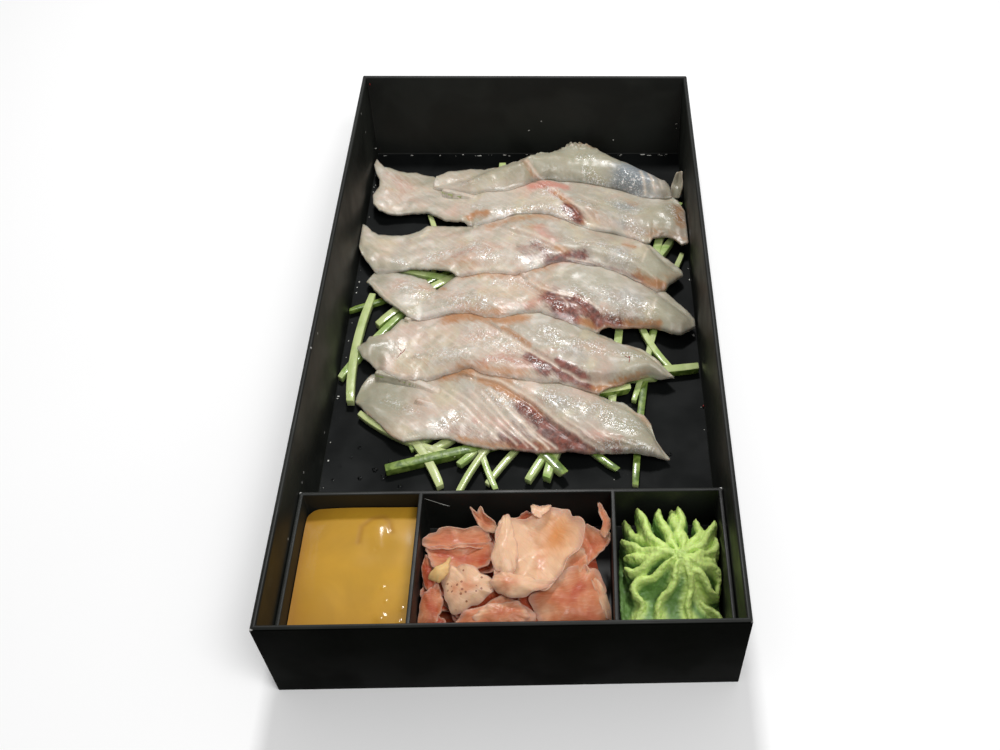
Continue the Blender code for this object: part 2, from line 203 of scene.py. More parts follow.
def scaled(colour, share):
    return (*(share * c for c in colour[:3]), 1)


def makeGroups():
    # two tones that drift into each other
    group, given, out = newGroup(
        "toneDrift", {"Vector": (0, 0, 0), "First": (1, 1, 1, 1), "Second": (0, 0, 0, 1), "Scale": 100.0},
        {"Colour": "Color", "Mask": "Float"})
    mask = rangeNode(group, noiseNode(group, given["Vector"], given["Scale"], 4.0, 0.6), 0.36, 0.64)
    group.links.new(mixColour(group, mask, given["First"], given["Second"]), out["Colour"])
    group.links.new(mask, out["Mask"])

    # a painted area whose border is broken up by the tissue
    group, given, out = newGroup(
        "ragged", {"Vector": (0, 0, 0), "Amount": 0.0, "Scale": 400.0, "Break": 0.6}, {"Mask": "Float"})
    grain = noiseNode(group, given["Vector"], given["Scale"], 5.0, 0.8)
    centred = mathNode(group, "SUBTRACT", grain, 0.5)
    pushed = mathNode(group, "MULTIPLY_ADD", centred, given["Break"], given["Amount"])
    shown = mathNode(group, "MULTIPLY", rangeNode(group, pushed, 0.05, 0.90),
                     rangeNode(group, given["Amount"], 0.02, 0.12))
    group.links.new(shown, out["Mask"])

    # the crinkled skin of water on moist food
    group, given, out = newGroup(
        "wetSkin", {"Vector": (0, 0, 0), "Scale": 900.0}, {"Height": "Float", "Wet": "Float"})
    ripple = noiseNode(group, given["Vector"], given["Scale"], 2.0, 0.4)
    patch = noiseNode(group, given["Vector"], mathNode(group, "MULTIPLY", given["Scale"], 0.12), 2.0)
    wet = rangeNode(group, patch, 0.40, 0.60)
    height = mathNode(group, "MULTIPLY", ripple, mathNode(group, "MULTIPLY_ADD", wet, 0.8, 0.2))
    group.links.new(height, out["Height"])
    group.links.new(wet, out["Wet"])

    # scattered specks, smaller than a pinhead
    group, given, out = newGroup(
        "specks", {"Vector": (0, 0, 0), "Scale": 300.0, "Size": 0.12, "Share": 0.2}, {"Mask": "Float"})
    cells = group.nodes.new("ShaderNodeTexVoronoi")
    group.links.new(given["Vector"], cells.inputs["Vector"])
    group.links.new(given["Scale"], cells.inputs["Scale"])
    dot = mathNode(group, "LESS_THAN", cells.outputs["Distance"], given["Size"])
    split = group.nodes.new("ShaderNodeSeparateColor")
    group.links.new(cells.outputs["Color"], split.inputs[0])
    chosen = mathNode(group, "LESS_THAN", split.outputs[0], given["Share"])
    group.links.new(mathNode(group, "MULTIPLY", dot, chosen), out["Mask"])


def newMaterial(name, **fixed):
    material = bpy.data.materials.new(name)
    material.use_nodes = True
    shader = material.node_tree.nodes["Principled BSDF"]
    for label, value in fixed.items():
        shader.inputs[label.replace("_", " ")].default_value = value
    return material, material.node_tree, shader


def driftMaterial(name, first, second, scale, **fixed):
    # a plain stuff whose colour drifts between two tones
    material, tree, shader = newMaterial(name, **fixed)
    tree.links.new(drift(tree, objectPlace(tree), first, second, scale), shader.inputs["Base Color"])
    return material


def addBump(tree, shader, height, distance, strength=1.0):
    bump = tree.nodes.new("ShaderNodeBump")
    bump.inputs["Distance"].default_value = distance
    bump.inputs["Strength"].default_value = strength
    connect(tree, height, bump.inputs["Height"])
    tree.links.new(bump.outputs["Normal"], shader.inputs["Normal"])


# mesh helpers

def deselectAll():
    if bpy.context.object and bpy.context.object.mode != "OBJECT":
        bpy.ops.object.mode_set(mode="OBJECT")
    bpy.ops.object.select_all(action="DESELECT")


def pick(piece):
    deselectAll()
    piece.select_set(True)
    bpy.context.view_layer.objects.active = piece


def applyModifier(piece, kind, **settings):
    pick(piece)
    modifier = piece.modifiers.new(kind.lower(), kind)
    for label, value in settings.items():
        setattr(modifier, label, value)
    bpy.ops.object.modifier_apply(modifier=modifier.name)


def bevel(piece, width, segments):
    applyModifier(piece, "BEVEL", width=width * mm, segments=segments, limit_method="ANGLE",
                  angle_limit=math.radians(40))


def joinAll(parts, name):
    deselectAll()
    for part in parts:
        part.select_set(True)
    bpy.context.view_layer.objects.active = parts[0]
    bpy.ops.object.join()
    piece = bpy.context.object
    piece.name = name
    return piece


def getPoints(piece):
    points = np.empty(len(piece.data.vertices) * 3)
    piece.data.vertices.foreach_get("co", points)
    return points.reshape(-1, 3)


def setPoints(piece, points):
    piece.data.vertices.foreach_set("co", np.ascontiguousarray(points, dtype=float).ravel())
    piece.data.update()


def paint(piece, name, values):
    layer = piece.data.attributes.new(name, "FLOAT", "POINT")
    layer.data.foreach_set("value", np.ascontiguousarray(values, dtype=np.float32).ravel())


def setUv(piece, u, v):
    layer = piece.data.uv_layers.new(name="leaf")
    loops = np.empty(len(piece.data.loops), dtype=int)
    piece.data.loops.foreach_get("vertex_index", loops)
    layer.data.foreach_set("uv", np.column_stack([u[loops], v[loops]]).ravel())


def flatPoints(x, y):
    return np.column_stack([x, y, np.zeros(len(x))])


def addBead(subdivisions, radius):
    bpy.ops.mesh.primitive_ico_sphere_add(subdivisions=subdivisions, radius=radius * mm)
    bead = bpy.context.object
    return bead, getPoints(bead) / mm


def addSlab(name, columns, rows):
    # a closed slab of unit size: across and along from 0 to 1, and which points are on its upper side
    deselectAll()
    bpy.ops.mesh.primitive_grid_add(x_subdivisions=columns, y_subdivisions=rows, size=1)
    slab = bpy.context.object
    slab.name = name
    bpy.ops.object.mode_set(mode="EDIT")
    bpy.ops.mesh.select_all(action="SELECT")
    bpy.ops.mesh.extrude_region_move(TRANSFORM_OT_translate={"value": (0, 0, -1)})
    bpy.ops.mesh.select_all(action="SELECT")
    bpy.ops.mesh.normals_make_consistent(inside=False)
    bpy.ops.object.mode_set(mode="OBJECT")
    points = getPoints(slab)
    return slab, points[:, 0] + 0.5, points[:, 1] + 0.5, points[:, 2] > -0.5


def smoothShade(piece, angle=180):
    pick(piece)
    bpy.ops.object.shade_smooth_by_angle(angle=math.radians(angle))


def wear(piece, material, slotName, *stoodFor):
    if material is not None:
        piece.data.materials.clear()
        piece.data.materials.append(material)
    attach(piece, "root")
    if stoodFor:
        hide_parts(*stoodFor)


def step(low, high, value):
    t = np.clip((value - low) / (high - low), 0, 1)
    return t * t * (3 - 2 * t)


def cloud(points, size, seed):
    # soft noise from -1 to 1 with lumps of the given size
    shift = Vector((seed * 7.3, seed * 3.1, seed * 5.7))
    return np.array([noise.noise(Vector(p) / size + shift) for p in points])


def treeOf(node):
    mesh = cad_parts[node].data
    return BVHTree.FromPolygons([v.co for v in mesh.vertices], [p.vertices for p in mesh.polygons])


def treeNow(piece):
    return BVHTree.FromObject(piece, bpy.context.evaluated_depsgraph_get())


def castGrid(tree, xs, ys, way=-1):
    # the height where a ray down, or up, meets the surface at each x and y, and nan where it meets nothing
    grid = np.full(ys.shape, np.nan)
    for (i, j), y in np.ndenumerate(ys):
        hit = tree.ray_cast(Vector((xs[i], y, -0.1 * way)), Vector((0, 0, way)))[0]
        if hit:
            grid[i, j] = hit.z
    return grid


def between(a, b, c, d, t):
    # the smooth curve from b to c, whose neighbours are a and d
    bend = 2 * a - 5 * b + 4 * c - d
    twist = 3 * b - a - 3 * c + d
    return (2 * b + (c - a) * t + bend * t ** 2 + twist * t ** 3) / 2


# the card tray and its insert

cardLook = {
    "inside": (0.0075, 0.0082, 0.0070, 1),
    # the outside is darker than the inside: partly matte card, partly painted shade on the walls that face
    # away from the key light
    "outside": (0.0007, 0.0009, 0.0005, 1),
    "floor": (0.0050, 0.0056, 0.0055, 1),
    "insideRoughness": 0.42,
    "trayBevel": 0.45,  # mm
    "insertBevel": 0.35,
    "wear": (0.80, 0.79, 0.76, 1),
    "dust": (0.45, 0.44, 0.42, 1),
}


def cardMaterial(name, colour, roughness, specular, cornerPlace, cornerMiddle, wornRadius):
    material, tree, shader = newMaterial(name, Specular_IOR_Level=specular)
    place = objectPlace(tree)
    tones = drift(tree, place, colour, scaled(colour, 1.7), 38.0)
    # folds rub white where three of them meet
    mirrored = vectorNode(tree, "ABSOLUTE", vectorNode(tree, "SUBTRACT", place, cornerMiddle)[0])[0]
    away = vectorNode(tree, "DISTANCE", mirrored, cornerPlace)["Value"]
    rub = mathNode(tree, "MULTIPLY_ADD", noiseNode(tree, place, 900.0), 0.0026, away)
    worn = rangeNode(tree, rub, wornRadius + 0.0013, wornRadius + 0.0006)
    colourNow = mixColour(tree, worn, tones, cardLook["wear"])
    colourNow = tint(tree, colourNow, speckle(tree, place, 150.0, 0.07, 0.035), 0.7, cardLook["dust"])
    tree.links.new(colourNow, shader.inputs["Base Color"])
    rough = rangeNode(tree, noiseNode(tree, place, 55.0), 0.3, 0.7, roughness - 0.06, roughness + 0.08)
    tree.links.new(rough, shader.inputs["Roughness"])
    addBump(tree, shader, noiseNode(tree, place, 1400.0, 2.0), 0.00003, 0.5)
    return material


def copyNode(node, name):
    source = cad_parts[node]
    piece = bpy.data.objects.new(name, source.data.copy())
    bpy.context.scene.collection.objects.link(piece)
    piece.data.materials.clear()
    pick(piece)
    bpy.ops.object.mode_set(mode="EDIT")
    bpy.ops.mesh.select_all(action="SELECT")
    bpy.ops.mesh.remove_doubles(threshold=0.00001)
    bpy.ops.mesh.dissolve_limited(angle_limit=math.radians(1))
    bpy.ops.mesh.normals_make_consistent(inside=False)
    bpy.ops.object.mode_set(mode="OBJECT")
    return piece


def buildTray():
    low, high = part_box("tray")
    # the name of each sort of card, its colour, roughness and specular level
    sorts = [("cardInside", "inside", cardLook["insideRoughness"], 0.22),
             # cardOutside's darker colour is partly painted shade
             ("cardOutside", "outside", 0.55, 0.012), ("cardFloor", "floor", 0.45, 0.035)]
    tray = copyNode("tray", "cardTray")
    bevel(tray, cardLook["trayBevel"], 3)
    wear(tray, None, "card", "tray")
    for name, tone, roughness, specular in sorts:
        tray.data.materials.append(
            cardMaterial(name, cardLook[tone], roughness, specular, tuple(high), (0, 0, 0), 0.0010))
    for face in tray.data.polygons:
        normal = face.normal
        outward = abs(face.center.x) > high.x - 0.3 * mm and abs(normal.x) > 0.7
        outward = outward or abs(face.center.y) > high.y - 0.3 * mm and abs(normal.y) > 0.7
        face.material_index = int(outward or normal.z < -0.5)
        if normal.z > 0.9 and face.center.z < 3 * mm:
            face.material_index = 2
    smoothShade(tray, 30)


def buildInsert():
    low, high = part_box("insert")
    middle = (low + high) / 2
    corner = (high.x - middle.x, high.y - middle.y, high.z - 0.0003)
    card = cardMaterial("cardInsert", cardLook["inside"], cardLook["insideRoughness"], 0.25, corner,
                        (middle.x, middle.y, 0), 0.0009)
    insert = copyNode("insert", "cardInsert")
    bevel(insert, cardLook["insertBevel"], 3)
    wear(insert, card, "card", "insert")
    smoothShade(insert, 30)


# fish

# All places are in mm. Front and back are a slice's long edges from left to right, and the seam is the line
# between flap and loin. leftEnd gives how far the end is cut in at each share of its width. Strokes (blood,
# blush, warm, pale, shine) are half width, strength and the points they run through. Areas (glassy, blue tint
# and sheen, ruffle) are x, y, half width, half length, turn in degrees and strength. On slices 3 to 6 the
# first warm stroke lies just under the front edge of the slice behind and is painted shadow of that edge.
# Shine strokes also carry painted white glints, and the blue areas are partly a painted bluish sheen under
# them.
fishLooks = {
    "slice_1": {
        "front": [(-44, 105), (-39.5, 102.5), (-32.5, 100.5), (-26, 97), (-19, 96), (-8.5, 96), (-1, 99.5),
                  (3, 103), (11, 105), (28, 104.5), (36, 103), (42, 101.5), (47.5, 97.5), (52.5, 93),
                  (57.5, 91), (67, 92)],
        "back": [(-44, 109), (-43, 113), (-37.5, 116), (-27, 117.5), (-20, 115), (-9, 115), (-6, 119),
                 (0, 119), (5, 121), (10.5, 124), (13, 130), (24, 133), (33, 131.5), (38, 127), (44, 120),
                 (50.5, 118.5), (58, 113.5), (64, 108), (67, 99)],
        "seam": [(-5.5, 117), (0, 108), (6.5, 103), (12, 100.5)],
        "warm": [(1.0, 0.55, [(-3, 113), (2, 106), (9, 102)]), (2.2, 0.35, [(26, 127), (33, 127)])],
        "pale": [(0.6, 0.9, [(-4, 114.5), (0, 109.5), (6, 105), (12, 101.5)]),
                 (0.7, 0.8, [(53, 105), (55, 94)]), (0.7, 0.8, [(56.5, 104), (59, 94)]),
                 (0.7, 0.7, [(60, 103.5), (62.5, 95)]),
                 (0.6, 0.7, [(14, 129), (20, 125), (27, 126), (34, 129)]),
                 (0.6, 0.6, [(17, 131), (22, 127.5)])],
        "shine": [(2.2, 1.0, [(28, 109), (36, 102.5)]), (2.0, 0.9, [(25, 116), (30, 116)]),
                  (4.0, 1.0, [(44, 103), (51, 97)]), (1.6, 0.9, [(-29, 104), (-22, 104)])],
        "glassy": [(20, 114, 48, 22, 0, 1.0)],
        "blue": [(50, 103, 12, 11, -35, 1.0), (-9, 117, 4, 5, 0, 0.6)],
        "ruffle": [(22, 130, 16, 5.5, 0, 1.0), (0, 119, 9, 3, 0, 0.5)],
    },
    "slice_2": {
        "front": [(-72.5, 85), (-66, 84), (-53, 85), (-45.5, 85), (-40, 82), (-36.5, 78.5), (-26.5, 75.5),
                  (-16, 73.5), (-10, 75.5), (-3.5, 78), (4, 78), (11, 76.5), (16, 72.5), (22.5, 69),
                  (31.5, 67), (40, 66.5), (47, 65), (55.5, 63), (57, 65.5), (63, 66), (67, 64),
                  (69.5, 60.5), (72.5, 62)],
        "back": [(-72.5, 122), (-70, 119), (-68, 116.5), (-61, 116), (-53, 117), (-45, 115), (-36, 108),
                 (-21, 104.5), (-4, 107), (13, 110), (30, 109), (48, 103), (60, 97), (66.5, 94), (70, 89.5),
                 (72.5, 82)],
        "leftEnd": [(0, 6.0), (0.12, 3.0), (0.3, 2.0), (0.45, 4.4), (0.58, 4.0), (0.72, 1.8), (0.88, 0.2),
                    (1, 1.0)],
        "seam": [(8.5, 98.5), (14.5, 91.5), (20.5, 81.5), (27.5, 71.5), (34.5, 67.5)],
        "blood": [(1.9, 1.0, [(19, 79), (21.5, 76), (23.5, 72)])],
        "blush": [(3.6, 0.95, [(3, 99.5), (9, 100.5), (17, 98)]), (3.2, 0.5, [(11, 95), (19, 84)]),
                  (4.0, 0.35, [(-64, 109), (-56, 104)])],
        "warm": [(1.3, 0.8, [(14, 93), (17, 85.5), (21.5, 77.5), (25.5, 70.5)]),
                 (1.6, 0.8, [(-25, 79), (-22, 80.6), (-17.5, 79)]), (3.5, 0.4, [(58, 66), (70, 64)]),
                 (2.5, 0.55, [(70, 72), (69.5, 84)]), (2.6, 0.28, [(-60, 111), (-52, 108)]),
                 (3.0, 0.22, [(-64, 100), (-56, 97)]), (2.4, 0.30, [(27, 74), (36, 73)]),
                 (1.8, 0.4, [(46, 90), (50, 86)])],
        "pale": [(0.5, 0.7, [(12.5, 96), (18, 87), (23.5, 79), (30, 72.5)]),
                 (0.5, 0.5, [(24, 93), (34, 84)]), (0.6, 0.6, [(-72, 88), (-70, 98)]),
                 (0.5, 0.4, [(34, 80), (42, 73)])],
        "shine": [(4.0, 1.0, [(9, 94.5), (13.5, 88)]), (4.0, 0.8, [(41, 86), (48, 81)]),
                  (2.2, 1.0, [(-12, 80), (5.5, 81)]), (2.6, 1.0, [(11, 79), (20, 74)]),
                  (2.4, 0.9, [(43, 76), (51, 67)]), (1.8, 0.9, [(24, 84), (30, 79)]),
                  (1.8, 0.8, [(-24, 88), (-20, 84)]), (2.5, 0.9, [(66, 82), (69, 76)])],
        "glassy": [(-38, 112, 16, 6, 0, 0.8), (62, 76, 13, 15, 0, 0.8), (40, 84, 22, 12, 0, 0.5)],
        "blue": [(45, 84, 7, 5, 0, 0.5), (41, 73, 8, 3, -35, 0.4)],
    },
    "slice_3": {
        "front": [(-72.6, 62), (-71, 57), (-67.5, 51.5), (-64, 47.5), (-60, 46.5), (-54, 47), (-46.5, 48),
                  (-37, 45.5), (-30.5, 42), (-26, 39.5), (-16.5, 40.5), (-8.5, 39), (-3, 37), (1.5, 37.5),
                  (6.5, 40), (11.5, 43), (17.5, 45), (27, 43), (33, 43.5), (39, 41.5), (46, 38.5), (50, 36),
                  (57, 32.5), (61, 34.5), (63, 38), (69, 43)],
        "back": [(-72.6, 76), (-70, 74), (-68, 71.5), (-65, 70), (-58, 70.5), (-51.5, 71.5), (-48, 73),
                 (-44, 77), (-30, 75), (-20, 76), (-5, 81), (12, 81), (29, 77), (44, 71), (55.5, 62.5),
                 (62, 54), (67, 48.5), (69, 45)],
        "seam": [(-4, 65), (4, 60.5), (9, 56), (15, 50.5), (19.5, 47), (27, 45.5), (36, 42.5), (50, 35.5)],
        "blood": [(2.6, 0.62, [(5, 54), (8.5, 49), (11, 46)]),
                  (1.9, 0.95, [(11.5, 43.5), (17, 45.5), (25, 46.5)]), (2.4, 0.5, [(0, 52), (3, 46)]),
                  (1.3, 0.6, [(27, 44.5), (38, 42), (50, 37)])],
        "blush": [(4.0, 0.55, [(6, 66), (12, 56)]), (3.0, 0.4, [(-30, 52), (-22, 55)]),
                  (3.0, 0.3, [(30, 66), (38, 62)])],
        # the first warm stroke lies just under slice 2's front edge: painted shadow of that edge
        "warm": [(2.6, 0.55, [(-15.5, 71), (-3.5, 74.5), (5.5, 76), (14, 73.5)]),
                 (1.6, 0.9, [(48, 38.5), (54, 35.5), (60, 35)]),
                 (2.8, 0.38, [(-35, 49), (-27, 47), (-22, 44.5)]), (1.3, 0.8, [(14.5, 51), (19, 47.5)]),
                 (3.0, 0.3, [(-4, 67), (4, 66)]), (1.2, 0.6, [(44, 57), (48, 55)]),
                 (2.2, 0.3, [(61, 40), (67, 42)])],
        "pale": [(0.6, 0.8, [(-2, 66), (5, 61), (12, 55), (18, 49)]),
                 (0.5, 0.8, [(19, 46), (30, 44.5), (40, 41.5), (50, 37)]), (0.5, 0.5, [(54, 56), (51, 45)]),
                 (0.5, 0.4, [(-12, 60), (-2, 48)]), (0.4, 0.4, [(-18, 60), (-8, 48)]),
                 (0.5, 0.35, [(2, 68), (16, 64)])],
        "shine": [(2.6, 1.0, [(-40.5, 54), (-30.5, 57)]), (4.6, 1.0, [(-22, 57), (-13, 49)]),
                  (4.0, 1.0, [(35, 52.5), (45, 46)]), (2.4, 0.9, [(20, 57), (26, 53)]),
                  (2.0, 0.8, [(4, 58), (10, 50)]), (1.6, 0.8, [(-56, 52), (-52, 51)]),
                  (2.0, 0.7, [(-2, 45), (3, 42)])],
        "glassy": [(-68, 60, 5, 9, 0, 0.5), (60, 44, 12, 11, 0, 0.9), (-30, 73, 12, 3, 0, 0.6),
                   (32, 64, 18, 8, 0, 0.4)],
        "blue": [(41, 50, 8, 5, 0, 0.35)],
    },
    "slice_4": {
        "front": [(-67.5, 42), (-62.5, 34.5), (-57, 28), (-51.5, 23), (-47.5, 18.5), (-43, 17), (-36.5, 18),
                  (-29, 19), (-21, 17.5), (-15, 14), (-8.5, 12.5), (-3.5, 14), (2, 15.5), (8, 15), (14, 11),
                  (21, 7.5), (25, 6), (29, 7.5), (35.5, 10.5), (42, 11.5), (50, 12.5), (55, 12), (61.5, 9),
                  (66, 8.5), (72, 13)],
        "back": [(-67.5, 43), (-66, 46.5), (-64.5, 49.5), (-59.5, 49), (-52, 46), (-46, 43), (-41.5, 41),
                 (-39, 38), (-36.5, 34.5), (-34.5, 36.5), (-30, 40.5), (-26, 44), (-17, 47), (-1, 49),
                 (15, 50), (32, 49), (44, 43.5), (51, 41), (56.5, 39), (61, 34), (66.5, 25.5), (72, 17)],
        "seam": [(1.5, 34.5), (6.5, 28), (11.5, 24), (21, 21.5), (28.5, 15.5), (37.5, 12)],
        "blood": [(3.0, 0.95, [(12, 23), (14.5, 18), (17, 12)]),
                  (2.2, 0.95, [(18.5, 20), (20.5, 15), (21.5, 10.5)]),
                  (1.9, 1.0, [(22, 20.5), (27, 16), (32, 12.5)]),
                  (1.6, 0.8, [(25, 14), (32, 13), (40, 12.6)]), (2.6, 0.3, [(0, 18), (6, 16)]),
                  (2.0, 0.35, [(40, 16), (46, 14.5)])],
        "blush": [(3.6, 0.45, [(10, 44), (24, 47)]), (3.4, 0.5, [(3, 19), (8, 21)]),
                  (3.0, 0.3, [(-24, 21), (-18, 18)])],
        # the first warm stroke lies just under slice 3's front edge: painted shadow of that edge
        "warm": [(2.6, 0.6, [(-24, 41), (-14.5, 41), (-4.5, 39.5), (4.5, 39.5), (11.5, 43)]),
                 (1.3, 1.0, [(20, 9), (30, 10.5), (44, 12.6), (56, 12)]),
                 (2.0, 0.55, [(-22, 18), (-15.5, 16), (-7, 14.5)]), (1.6, 0.5, [(4, 33), (10, 27)]),
                 (1.4, 0.4, [(-44, 36), (-38, 34)]), (1.2, 0.5, [(-36, 35), (-33, 33.5)])],
        "pale": [(0.7, 0.8, [(3, 34), (8, 28.5), (14, 25), (21, 22.5)]),
                 (0.5, 0.8, [(23, 21.5), (28, 18.5), (34, 15)]), (0.5, 0.4, [(-13, 36), (-2, 22)]),
                 (0.5, 0.3, [(-7, 36), (4, 22)]), (0.7, 0.6, [(56, 24), (53, 16)]),
                 (0.4, 0.5, [(-66, 44), (-58, 31), (-48, 20)]), (0.4, 0.7, [(17, 22), (19.5, 16)])],
        "shine": [(4.6, 0.9, [(-27, 24.5), (-15.5, 22)]), (3.4, 1.0, [(22, 26), (27.5, 21.5)]),
                  (3.4, 0.9, [(34, 26), (40.5, 19)]), (3.0, 1.0, [(44, 22), (52, 17.5)]),
                  (3.4, 0.7, [(-52, 37), (-40, 31)]), (3.0, 0.6, [(-10, 33), (2, 31)]),
                  (1.6, 1.0, [(12, 21), (17, 15)]), (1.4, 0.9, [(33, 16), (41, 13.5)])],
        "glassy": [(-62, 42, 6, 8, 0, 0.6), (64, 18, 12, 12, 0, 0.95), (30, 36, 24, 9, 0, 0.5)],
        "blue": [(44, 24, 9, 7, 0, 0.35)],
    },
    "slice_5": {
        "front": [(-66, 2), (-63, -3.5), (-57, -7.5), (-54, -10), (-50.5, -12.5), (-47.5, -14),
                  (-41.5, -14.5), (-34, -13.5), (-26.5, -12.5), (-19, -13), (-13.5, -17), (-4.5, -20),
                  (3, -21), (8.5, -22), (15.5, -22), (21, -23.5), (26.5, -24.5), (32, -24), (37.5, -20.5),
                  (43, -17.5), (51.5, -14.5), (56, -15.5), (61.5, -14.5)],
        "back": [(-66, 3), (-63, 5), (-62, 8), (-57, 9.5), (-54, 11.5), (-52, 15.5), (-50, 19), (-36, 22),
                 (-21, 22.5), (-6, 19.5), (9, 20), (20, 14.5), (27, 11.5), (34.5, 7.5), (39, 4.5), (44, 3),
                 (49.5, 0.5), (54, -4), (57.5, -8.5), (61.5, -14)],
        "seam": [(-7, 5), (0.5, -1.5), (7, -8), (15.5, -15), (21, -20), (26.5, -21.5), (37, -21.5),
                 (46.5, -21)],
        "blood": [(2.3, 1.0, [(4.5, -10), (7.5, -14), (10.5, -17)]),
                  (1.5, 0.9, [(10, -12.5), (14, -16.5), (18, -20)]),
                  (1.4, 0.95, [(15, -13.5), (19.5, -17), (25, -20)]),
                  (1.8, 1.0, [(17, -18), (22, -20), (26, -21.5)]), (5.0, 0.22, [(0, -12), (12, -20)])],
        "blush": [(4.2, 0.45, [(-16, -13), (-6, -8), (2, -15)]), (4.0, 0.3, [(-24, 6), (-12, 4)])],
        # the first warm stroke lies just under slice 4's front edge: painted shadow of that edge
        "warm": [(2.8, 0.85, [(-30, 17), (-21, 17), (-13, 14), (-6, 11), (0, 12)]),
                 (1.3, 1.0, [(24, -22.5), (33, -22.5), (42, -18.5), (50, -16)]),
                 (2.4, 0.65, [(-24, -11.5), (-15.5, -14.5), (-8, -17), (0, -18.5)]),
                 (0.9, 0.8, [(-7, 6.5), (0, 0), (4, -4)]), (5.0, 0.2, [(-40, -8), (-28, -9)]),
                 (1.2, 0.3, [(44, -2), (55, -8)])],
        "pale": [(0.8, 0.9, [(-7, 5), (1, -2.5), (8, -9.5), (15, -15.5)]),
                 (0.5, 0.9, [(17, -17), (24, -20.8), (36, -20.6)]),
                 (0.45, 0.5, [(-24, 6), (-16, -2.5), (-10.5, -7.5)]),
                 (0.45, 0.5, [(-19.5, 6), (-10.5, -2.5), (-5, -7.5)]),
                 (0.45, 0.5, [(-13, 4), (-5, -3), (1.5, -8)]), (0.4, 0.4, [(-29, 5), (-22, -3), (-16, -8)]),
                 (0.5, 0.4, [(26, -2), (40, -9)])],
        "shine": [(4.6, 0.9, [(-17.5, 3.5), (-3, -3)]), (3.6, 1.0, [(10, 3.5), (15.5, -6)]),
                  (1.3, 1.0, [(29, -7.5), (39, -7), (49, -9)]), (1.5, 1.0, [(-42, -2), (-40.5, -3)]),
                  (3.4, 0.7, [(-34, -3), (-22, -4)]), (2.8, 0.8, [(20, -3), (32, -4)]),
                  (1.4, 0.9, [(5, -11), (9, -15)]), (1.6, 0.7, [(-12, -10), (0, -13)])],
        "glassy": [(-61, 1, 8, 10, 0, 1.0), (50, -8, 14, 9, 0, 0.75), (-18, 15, 16, 6, 0, 0.3),
                   (28, 3, 18, 9, 0, 0.4)],
        "blue": [(22, -8, 8, 5, -30, 0.3)],
    },
    "slice_6": {
        "front": [(-64.5, -22.5), (-60, -29), (-56, -33), (-51, -38.5), (-47, -43), (-43, -45), (-39, -44),
                  (-32, -43.5), (-26, -43.5), (-20.5, -46), (-15, -48), (-9, -49.5), (-2, -49.5), (5, -51),
                  (10.5, -51.5), (18, -51), (31, -51), (42, -51.5), (50.5, -52.5), (57.5, -53)],
        "back": [(-64.5, -19.5), (-63, -14), (-61.5, -11), (-60, -8.5), (-56, -5.5), (-49, -6.5), (-34, -8),
                 (-20, -8), (-6, -14), (8, -17), (20, -18.5), (26.5, -22), (34.5, -25.5), (41, -27),
                 (45.5, -31.5), (48.5, -33), (51, -37), (52.5, -43.5), (55, -48), (57.5, -52)],
        "seam": [(-17, -17), (-8, -21), (-2.5, -25.5), (6, -32), (12, -38.5), (17.5, -43.5), (21.5, -47),
                 (27.5, -50), (35.5, -52)],
        "blood": [(2.6, 0.85, [(1.5, -33), (6, -37), (9.5, -41)]),
                  (2.6, 1.0, [(9.5, -40), (14, -44), (18.5, -47.5), (24, -50)]),
                  (2.2, 1.0, [(9, -44), (14.5, -48), (21, -50)]),
                  (2.0, 0.75, [(-5.5, -44.5), (1.5, -48.5), (8, -50)]),
                  (1.3, 0.8, [(24, -48), (30, -50.5), (38, -51)]),
                  (2.6, 0.36, [(-28, -40), (-18, -42), (-8, -46)]), (1.6, 0.5, [(-2, -40), (4, -46)]),
                  (1.6, 0.5, [(3, -40), (8, -46)])],
        "blush": [(4.0, 0.4, [(-16, -36), (-4, -40)]), (3.0, 0.4, [(28, -46), (38, -48)]),
                  (3.0, 0.3, [(2, -26), (8, -33)])],
        # the first warm stroke lies just under slice 5's front edge: painted shadow of that edge
        "warm": [(2.8, 0.8, [(-30, -12), (-21, -12), (-13, -16.5), (-5, -21)]),
                 (1.5, 0.8, [(-15.5, -18), (-7, -23.5), (0, -29.5), (8, -36)]),
                 (1.5, 1.0, [(-3, -48), (6, -49.5), (18, -49.8), (27, -50.5)]),
                 (1.2, 0.6, [(-22, -44), (-12, -47), (-4, -48.5)]), (1.4, 0.45, [(46, -31.5), (50, -37)]),
                 (0.9, 0.5, [(-59, -31), (-51, -39), (-45, -44)])],
        "pale": [(0.45, 0.8, [(-30, -20), (-20, -30), (-14.5, -37), (-7, -45.5)]),
                 (0.45, 0.8, [(-26, -20.5), (-18.5, -27.5), (-7.5, -40.5), (0, -48)]),
                 (0.4, 0.6, [(-19, -22), (-10.5, -33), (-3.5, -41.5), (4, -49)]),
                 (0.5, 1.0, [(-14, -24), (-5.5, -36), (0.5, -43.5), (7.5, -50)]),
                 (0.5, 1.0, [(-11, -23.5), (-2, -35), (5, -43), (12, -50)]),
                 (0.5, 0.9, [(-6, -28), (2.5, -39.5), (9.5, -46), (15, -50)]),
                 (0.7, 1.0,
                  [(-17, -16), (-7, -20.5), (0, -26), (7, -31.5), (13, -37.5), (19, -43), (25, -47.5),
                   (35, -51)]), (0.5, 0.7, [(17.5, -39), (25, -45), (33, -49.5), (42, -50.5)]),
                 (0.4, 0.6, [(26, -41), (34, -46.5), (45, -50)]),
                 (0.5, 0.5, [(-36, -22), (-30, -32), (-26, -38)])],
        "shine": [(2.2, 1.0, [(-28, -36.5), (-22, -34.5)]), (2.6, 1.0, [(-12, -26), (-1, -32)]),
                  (4.0, 0.9, [(10, -28), (19, -33), (34, -35.5)]), (3.6, 0.9, [(26, -33), (44, -42)]),
                  (2.2, 0.6, [(-52, -24), (-40, -30)]), (1.6, 0.8, [(30, -49), (50, -51)]),
